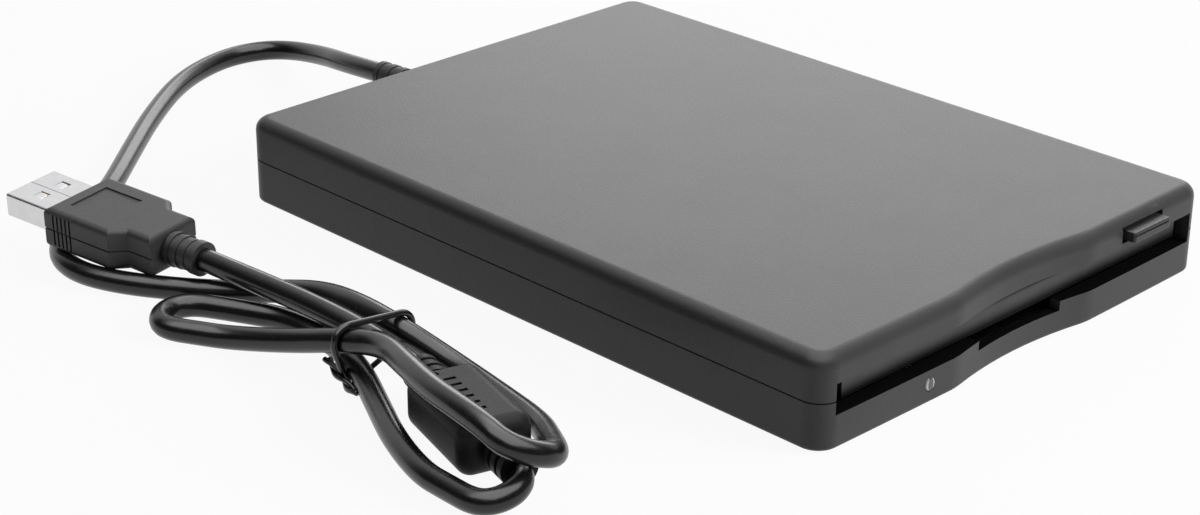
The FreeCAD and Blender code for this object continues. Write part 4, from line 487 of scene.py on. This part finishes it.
tree, shader = new_material("flap plastic")
where = node(tree, "ShaderNodeTexCoord", {}, "Object")
height = node(tree, "ShaderNodeSeparateXYZ", {"Vector": where}, "Z")
# painted shade of the lip: black at the bottom of the flap, rising to the plastic's own colour and shine
up_the_flap = rise(tree, height, flap_low + black_up_to, flap_low + shade_fades_out_at, "SMOOTHSTEP")
uneven_shade = between(tree, noise(tree, where, 6.0, 3.0), 0.7, 1.3)
painted_lip_shade = node(tree, "ShaderNodeMath", {0: up_the_flap, 1: uneven_shade}, operation="MULTIPLY")
fine = noise(tree, where, 0.32, 3.0)
feed(tree, shader, {
    "Base Color": two_colours(tree, painted_lip_shade, (0.002, 0.002, 0.002), charcoal_dark, 0.0, 1.0),
    "Specular IOR Level": between(tree, painted_lip_shade, 0.02, 0.32),
    "Roughness": between(tree, fine, 0.34, 0.50),
    "Normal": bump(tree, fine, 0.02),
})
print("flap from %.1f to %.1f mm" % (flap_low / mm, flap_high / mm))

# %% [markdown]
# ## Metals
#
# Rolled sheet has long faint streaks, so its noise is stretched along one axis. Wound wire
# and stacked sheets have theirs across the winding and the stack. Plated and turned parts
# get rounder, finer marks. Colour, gloss and bump all follow the same marks.

# %% Metals
metal_swing, metal_depth_mm = 0.07, 0.002


def metal(name, dark, pale, rough, grain_mm=0.5, stretch=(1, 1, 1)):
    """A bare metal whose tone and gloss change along its rolling or turning marks."""
    tree, shader = new_material(name)
    marks = noise(tree, place_on_piece(tree, stretch), grain_mm, 4.0)
    feed(tree, shader, {
        "Metallic": 1.0,
        "Base Color": two_colours(tree, marks, dark, pale),
        "Roughness": between(tree, marks, rough - metal_swing, rough + metal_swing),
        "Normal": bump(tree, marks, metal_depth_mm),
    })


rolled, wound, stacked = (1, 0.06, 1), (1, 1, 6), (0.2, 0.2, 8)
metals = {  # dark and pale colour, roughness, size of the marks in mm, and their stretch
    "galvanised sheet": ((0.50, 0.51, 0.52), (0.62, 0.63, 0.64), 0.36, 0.8, rolled),
    "zinc plated screws": ((0.42, 0.42, 0.43), (0.55, 0.55, 0.56), 0.3, 0.3),
    "spring wire": ((0.45, 0.45, 0.46), (0.58, 0.58, 0.59), 0.25, 0.2),
    "polished steel": ((0.70, 0.70, 0.71), (0.78, 0.78, 0.79), 0.12, 0.5, rolled),
    "gold flash": ((0.78, 0.56, 0.22), (0.86, 0.66, 0.30), 0.22, 0.3),
    "bearing bronze": ((0.52, 0.38, 0.17), (0.64, 0.48, 0.22), 0.4, 0.15),
    "enamelled copper": ((0.50, 0.22, 0.09), (0.66, 0.33, 0.15), 0.3, 0.25, wound),
    "laminated core": ((0.28, 0.28, 0.29), (0.38, 0.38, 0.39), 0.45, 0.25, stacked),
    "bare cans": ((0.60, 0.60, 0.61), (0.68, 0.68, 0.69), 0.28, 0.4),
}
for name, values in metals.items():
    metal(name, *values)
print("metals", len(metals))

# %% [markdown]
# ## The plug's shell
#
# The shell is nickel-plated sheet, bent round until its two edges meet in a seam along the
# middle. The plug lies turned on the table, so the material works in the plug's own frame:
# a place and three turns. In that frame the seam is simply where Y is nearly 0.

# %% The plug's shell, with its seam
plug_place = np.array([-88.0, 72.4, 8.45]) * mm + case_shift
plug_turns = tuple(math.radians(a) for a in (3.0, 2.3, 9.5 - 90))
seam_half, seam_blend = 0.04 * mm, 0.12 * mm
seam_colour = (0.12, 0.12, 0.12, 1)

tree, shader = new_material("bright nickel")
where = node(tree, "ShaderNodeTexCoord", {}, "Object")
beside_seam = rise(tree, off_axis(tree, place_in_frame(tree, plug_place, plug_turns), "Y"),
                   seam_half, seam_blend)
plated = two_colours(tree, noise(tree, where, 2.0, 4.0), (0.61, 0.61, 0.62), (0.65, 0.65, 0.66))
feed(tree, shader, {
    "Metallic": 1.0,
    "Base Color": mixed(tree, beside_seam, seam_colour, plated),
    "Roughness": between(tree, noise(tree, where, 3.0), 0.20, 0.24),
    "Normal": bump(tree, beside_seam, 0.03),
})
print("plug at", tuple(plug_place))

# %% [markdown]
# ## Circuit boards
#
# Circuit boards are green lacquer over copper tracks, which show as slightly raised paler
# paths. The edges of square cells make a fair pattern of such tracks, with right-angled
# corners.

# %% Circuit boards
track_cell = 2.4 * mm

tree, shader = new_material("board lacquer")
tracks = node(tree, "ShaderNodeTexVoronoi", {"Vector": place_on_piece(tree), "Scale": 1.0 / track_cell},
              "Distance", feature="DISTANCE_TO_EDGE", distance="CHEBYCHEV")
feed(tree, shader, {
    "Base Color": two_colours(tree, tracks, (0.07, 0.30, 0.12), (0.025, 0.16, 0.06), 0.05, 0.09),
    "Normal": bump(tree, tracks, 0.02, 0.6),
    "Roughness": 0.28,
    "Coat Weight": 0.3,
})
print("track cells %.1f mm" % (track_cell / mm))

# %% [markdown]
# ## The activity light
#
# The light's lens is a clear rod. Its rim catches the room to the left and the right, and
# its middle shows the dark inside of the case, so two pale crescents stand on a dark disc.
# Both are painted into the lens's colour: the crescents are a painted reflection and the
# dark disc is painted shade. A crescent is where a point is far from the rod's axis and
# also far off to one side. The lamp behind the lens is a softer green plastic that lets
# some light through.

# %% The lens and the lamp
rim_radius = 1.2 * mm
crescent_starts, crescent_full = 0.1 * mm, 0.8 * mm
along_rod = (1, 1e6, 1)

tree, shader = new_material("clear lens")
lens_low, lens_high = box_of("led_lens")
from_axis = place_in_frame(tree, (lens_low + lens_high) / 2, lengths=along_rod)
radius = node(tree, "ShaderNodeVectorMath", {0: from_axis}, "Value", operation="LENGTH")
ring = rise(tree, radius, 0.0, rim_radius)
sides = rise(tree, off_axis(tree, from_axis, "X"), crescent_starts, crescent_full)
# painted reflection and painted shade: pale crescents of the room on a dark disc
painted_reflection_crescents = node(tree, "ShaderNodeMath", {0: ring, 1: sides}, operation="MULTIPLY")
feed(tree, shader, {
    "Base Color": two_colours(tree, painted_reflection_crescents, (0.04, 0.042, 0.04), (0.26, 0.27, 0.26), 0.30, 0.60),
    "Roughness": between(tree, noise(tree, place_on_piece(tree), 0.5), 0.08, 0.18),
    "Coat Weight": 0.3,
})

tree, shader = new_material("green lamp")
feed(tree, shader, {
    "Base Color": two_colours(tree, noise(tree, place_on_piece(tree), 0.7), (0.28, 0.62, 0.24),
                              (0.42, 0.80, 0.36)),
    "Roughness": 0.2,
    "Transmission Weight": 0.35,
})
print("materials", len(looks))

# %% [markdown]
# ## Who wears what
#
# Every piece of the CAD model gets one material here. The printed list of missing pieces
# has to be empty: a piece that nobody dressed would keep the plain grey of the import.

# %% Give every CAD node its material
finishes = {
    "grained case plastic": "top_cover",
    "lower shell plastic": "bottom_case",
    "button plastic": "eject_button",
    "flap plastic": "dust_flap",
    "foot rubber": "rubber_feet",
    "vinyl moulding": "strain_relief plug_body",
    "choke vinyl": "noise_choke",
    "cord vinyl": "usb_cord twist_tie",
    "chip plastic": "chips track_sensor switch_bodies",
    "ivory plastic": "rail_cradles head_carriage screw_bearing drive_pin",
    "white plastic": "plug_tongue ribbon_connectors write_protect_plunger density_plunger "
                     "disk_present_plunger",
    "ribbon plastic": "ribbon_cable cord_leads",
    "head ceramic": "lower_head upper_head",
    "magnet ferrite": "rotor_magnet",
    "galvanised sheet": "chassis_frame top_shield slide_plate disk_cage latch_lever rotor_cup hub_plate "
                        "upper_arm stepper_bracket",
    "zinc plated screws": "case_screws inner_screws slide_guides cage_pins latch_pivot",
    "spring wire": "eject_springs flap_spring",
    "polished steel": "spindle_shaft guide_rods arm_pivot lead_screw",
    "bright nickel": "plug_shell",
    "gold flash": "plug_contacts",
    "bearing bronze": "spindle_bearing",
    "enamelled copper": "stator_coils",
    "laminated core": "stator_core",
    "bare cans": "stepper_can board_parts",
    "board lacquer": "led_board motor_board control_board bridge_board",
    "clear lens": "led_lens",
    "green lamp": "led_lamp",
}
dressed = {piece: looks[name] for name, pieces in finishes.items() for piece in pieces.split()}
for piece, material in dressed.items():
    nodes[piece].data.materials.clear()
    nodes[piece].data.materials.append(material)
print("materials given to", len(dressed), "nodes, missing", sorted(set(nodes) - set(dressed)))

# %% [markdown]
# ## Building with grids
#
# The new pieces are all surfaces: a shape is a function of two running numbers, worked out
# for a whole grid at once. The helper below joins the grid's points into faces and closes
# the two ends of a tube. It is the only place where a mesh is put together.

# %% Mesh helper


def grid_piece(name, points, material):
    """A closed tube from an array of points with shape (rows, columns, 3).

    Row i and column j give one corner of a face, and its neighbours give the others. The
    last column joins the first, and the two end rows are closed by a fan.
    """
    rows, columns = points.shape[:2]
    count = rows * columns
    number = np.arange(count).reshape(rows, columns)
    ahead = np.roll(number, -1, axis=1)
    faces = np.stack([number[:-1], ahead[:-1], ahead[1:], number[1:]], axis=-1).reshape(-1, 4).tolist()
    ends = np.stack([points[0].mean(0), points[-1].mean(0)])
    corners = np.concatenate([points.reshape(-1, 3), ends])
    faces += np.stack([np.full(columns, count), ahead[0], number[0]], axis=-1).tolist()
    faces += np.stack([np.full(columns, count + 1), number[-1], ahead[-1]], axis=-1).tolist()
    mesh = bpy.data.meshes.new(name)
    mesh.from_pydata(corners.tolist(), [], faces)
    mesh.materials.append(material)
    mesh.polygons.foreach_set("use_smooth", [True] * len(mesh.polygons))
    mesh.update()
    piece = bpy.data.objects.new(name, mesh)
    scene.collection.objects.link(piece)
    return piece


print("mesh helper ready")

# %% [markdown]
# ## Tubes along a path
#
# An oval section that is carried along a path is all that a wire, a tie or a bent strip of
# metal is. Three short helpers measure a path, space its points evenly, and round its
# corners by letting each point drift towards its neighbours.

# %% Tubes and paths


def unit(vectors):
    """The same directions with length 1."""
    return vectors / np.linalg.norm(vectors, axis=1)[:, None]


def tube_along(name, path, side, half_wide, half_thick, material, columns=20, squareness=2.0):
    """A bar with an oval section, carried along a path.

    At each point of the path the section lies across the path's direction: it reaches
    half_wide along the side direction and half_thick across it. A squareness above 2 turns
    the ellipse into a rounded rectangle: |u| ** squareness + |v| ** squareness = 1.
    """
    along = unit(np.gradient(path, axis=0))
    wide = unit(side - (side * along).sum(1)[:, None] * along)
    thick = np.cross(along, wide)
    angle = np.linspace(0, 2 * math.pi, columns, endpoint=False)
    power = 2.0 / squareness
    u, v = (np.sign(way) * np.abs(way) ** power for way in (np.cos(angle), np.sin(angle)))
    reach_wide, reach_thick = (np.broadcast_to(half, len(path))[:, None] for half in (half_wide, half_thick))
    points = (path[:, None] + wide[:, None] * (u * reach_wide)[..., None]
              + thick[:, None] * (v * reach_thick)[..., None])
    return grid_piece(name, points, material)


def distance_along(path):
    """How far along the path each of its points lies."""
    return np.r_[0, np.cumsum(np.linalg.norm(np.diff(path, axis=0), axis=1))]


def evenly(path, step):
    """The same path with points a fixed step apart."""
    run = distance_along(path)
    at = np.linspace(0, run[-1], max(4, int(round(run[-1] / step)) + 1))
    return np.stack([np.interp(at, run, column) for column in path.T], axis=1)


def softened(path, times):
    """The path with each inner point moved towards the middle of its neighbours, several times."""
    for _ in range(times):
        path = np.concatenate([path[:1], 0.25 * path[:-2] + 0.5 * path[1:-1] + 0.25 * path[2:], path[-1:]])
    return path


print("tube helpers ready")

# %% [markdown]
# ## The twist tie
#
# A twist tie is a soft wire in a vinyl sleeve. It goes once round the four runs of the hank.
# The loop is the tightest outline round circles: for every direction we take the cord run
# that lies farthest out and step one cord radius beyond its middle. Under the hank the wire
# is pressed flat between the cord and the table, so its thickness falls there.

# %% The loop of the tie
tie_plane = -0.3 * mm + case_shift[1]
hank_side = -20 * mm
tie_gap = 0.12 * mm
wire_radius, wire_spread = 0.55 * mm, 1.15
pressed_flat, pressed_below, pressed_blend = 0.24 * mm, -0.95, 0.5
loop_start, loop_points = math.radians(215), 241
loop_step, loop_softening = 0.3 * mm, 5

off_plane = cord_line[:, 1] - tie_plane
crosses = np.nonzero((off_plane[:-1] * off_plane[1:] < 0) & (cord_line[:-1, 0] < hank_side))[0]
share = (off_plane[crosses] / (off_plane[crosses] - off_plane[crosses + 1]))[:, None]
spots = cord_line[crosses] * (1 - share) + cord_line[crosses + 1] * share

angle = loop_start + np.linspace(0, 2 * math.pi, loop_points)
out = np.stack([np.cos(angle), np.zeros_like(angle), np.sin(angle)], axis=1)
farthest = (spots @ out.T).argmax(axis=0)
free = np.clip((np.sin(angle) - pressed_below) / pressed_blend, 0, 1)
thickness = pressed_flat + (wire_radius - pressed_flat) * free
loop = spots[farthest] + out * (cord_radius + tie_gap + thickness)[:, None]
with_thickness = softened(evenly(np.column_stack([loop, thickness]), loop_step), loop_softening)
loop, thickness = with_thickness[:, :3], with_thickness[:, 3]
across_loop = np.tile([0.0, 1.0, 0.0], (len(loop), 1))
tie_loop = tube_along("tie_loop", loop, across_loop, wire_radius * wire_spread, thickness,
                      looks["cord vinyl"])
print("cord runs in the tie:", len(spots), "loop from", loop.min(0), "to", loop.max(0))

# %% [markdown]
# ## The twisted ends
#
# The two ends of the tie are turned round each other where the loop closes. Each is a helix:
# a point that goes along the middle line while it circles round it. The second wire is half
# a turn behind the first, and a little shorter.

# %% The two ends
twist_line = np.array([(-86.6, 5.3, 3.0), (-87.0, 3.0, 2.1), (-87.5, 0.7, 1.5),
                       (-88.2, -1.9, 1.15), (-89.2, -5.4, 1.05)]) * mm
twist_step, twist_softening = 0.2 * mm, 12
twist_line = softened(evenly(twist_line, twist_step), twist_softening)
end_radius, twist_radius, twist_pitch = 0.46 * mm, 0.44 * mm, 9.0 * mm
shorter_by, end_columns = 9, 14

run = distance_along(twist_line)
first_side = unit(np.cross(np.gradient(twist_line, axis=0), [0.0, 0.0, 1.0]))
second_side = unit(np.cross(first_side, np.gradient(twist_line, axis=0)))
tie_ends = []
for number, start_turn in enumerate((0.0, math.pi)):
    turn_angle = start_turn + 2 * math.pi * run / twist_pitch
    helix = (twist_line + twist_radius * (np.cos(turn_angle)[:, None] * first_side
                                          + np.sin(turn_angle)[:, None] * second_side))
    helix = helix[: len(helix) - shorter_by * number]
    tie_ends.append(tube_along("tie_end_%d" % (number + 1), helix, first_side[: len(helix)],
                               end_radius, end_radius, looks["cord vinyl"], end_columns))
print("twisted ends", len(tie_ends), "length %.1f mm" % (run[-1] / mm))

# %% [markdown]
# ## The latches of the plug's shell
#
# The steel shell is bent from one sheet. Small tongues cut free on two sides dip into its
# windows, and grip the plug when it is pushed into a socket. Each one is a strip that leaves
# the sheet at its level and curves down towards its free end. They are built in the plug's
# own frame, with X along the cord, and laid where the plug lies by three turns and a move.

# %% The latches
shell_half_height, shell_wall = 2.25 * mm, 0.3 * mm
window_middle, window_side, window_half = -6.3 * mm, 2.5 * mm, 1.1 * mm
slit, root_overlap = 0.36 * mm, 0.05 * mm
latch_dip, latch_half_thick = 0.16 * mm, 0.12 * mm
latch_points, latch_columns, latch_squareness = 24, 24, 10.0


def lay_plug(points):
    """Points from the plug's frame to the model's: turned about X, then Y, then Z, and moved."""
    (cx, sx), (cy, sy), (cz, sz) = ((math.cos(a), math.sin(a)) for a in plug_turns)
    about_x = np.array([[1, 0, 0], [0, cx, -sx], [0, sx, cx]])
    about_y = np.array([[cy, 0, sy], [0, 1, 0], [-sy, 0, cy]])
    about_z = np.array([[cz, -sz, 0], [sz, cz, 0], [0, 0, 1]])
    return points @ (about_z @ about_y @ about_x).T + plug_place


t = np.linspace(0, 1, latch_points)
across = lay_plug(np.array([[0.0, 1.0, 0.0]])) - lay_plug(np.zeros((1, 3)))
latches = []
for level in (1, -1):
    for row in (1, -1):
        strip = np.stack([window_middle - window_half - root_overlap + t * (2 * window_half - slit),
                          np.full_like(t, row * window_side - slit / 2),
                          level * (shell_half_height - shell_wall / 2 - latch_dip * t ** 2)], axis=1)
        latches.append(tube_along("latch_%d" % (len(latches) + 1), lay_plug(strip),
                                  np.tile(across, (latch_points, 1)), window_half - slit / 2,
                                  latch_half_thick, looks["bright nickel"], latch_columns,
                                  latch_squareness))
print("latches", len(latches))

# %% [markdown]
# ## The eject springs
#
# Two extension springs draw the slide forward when a disk trips the latch. Each has a coil
# between two hooks, one round a post of the chassis and one round a post of the slide. The
# hooks ride with their posts. On the drive the coil between them closes up as the slide
# comes forward; here it is a piece of its own, tied to the base, and keeps its length. It
# is the same helix as in the tie's ends.

# %% The springs
coil_radius, coil_wire, coil_turns = 0.8 * mm, 0.18 * mm, 16
hook_length, hook_radius = 3.0 * mm, 0.68 * mm
hook_opening, hook_points, hook_overlap = 0.4, 40, 0.1 * mm
hook_step, hook_softening = 0.12 * mm, 3
points_per_turn, wire_columns = 26, 8

spring_low, spring_high = box_of("eject_springs")
coil_x = spring_high[0] - coil_radius - coil_wire
coil_z = (spring_low[2] + spring_high[2]) / 2
post_y = np.array([spring_low[1] + hook_radius + coil_wire, spring_high[1] - hook_radius - coil_wire])
coil_y = post_y + [hook_length, -hook_length]
for row, side_name in ((1, "right"), (-1, "left")):
    axis_x = row * coil_x
    turn = np.linspace(0, 2 * math.pi * coil_turns, points_per_turn * coil_turns)
    coil = np.stack([axis_x + coil_radius * np.cos(turn), np.linspace(*coil_y, len(turn)),
                     coil_z + coil_radius * np.sin(turn)], axis=1)
    piece = tube_along("spring_coil_" + side_name, coil, np.array([[0.0, -1.0, 0.0]]), coil_wire, coil_wire,
                       looks["spring wire"], wire_columns)
    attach(piece, "base")
    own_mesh(piece)
    for end, body, inwards in ((0, "base", 1), (1, "slider", -1)):
        bend = np.linspace(hook_opening, 2 * math.pi, hook_points)
        ring = np.stack([axis_x + hook_radius * np.cos(bend),
                         post_y[end] + inwards * hook_radius * np.sin(bend),
                         np.full_like(bend, coil_z)], axis=1)
        tip = [[axis_x + coil_radius, coil_y[end] + inwards * hook_overlap, coil_z]]
        hook = softened(evenly(np.concatenate([ring, tip]), hook_step), hook_softening)
        piece = tube_along("spring_hook_%s_%d" % (side_name, end + 1), hook, np.array([[0.0, 0.0, 1.0]]),
                           coil_wire, coil_wire, looks["spring wire"], wire_columns)
        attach(piece, body)
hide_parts("eject_springs")

# %% [markdown]
# ## Finish
#
# The new pieces are tied to the bodies that they move with.

# %% Tie the pieces to their bodies and finish
cord_curve.materials.append(looks["cord vinyl"])
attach(cord, "base")
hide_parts("usb_cord")
for piece in [tie_loop] + tie_ends:
    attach(piece, "base")
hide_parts("twist_tie")
for latch in latches:
    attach(latch, "base")
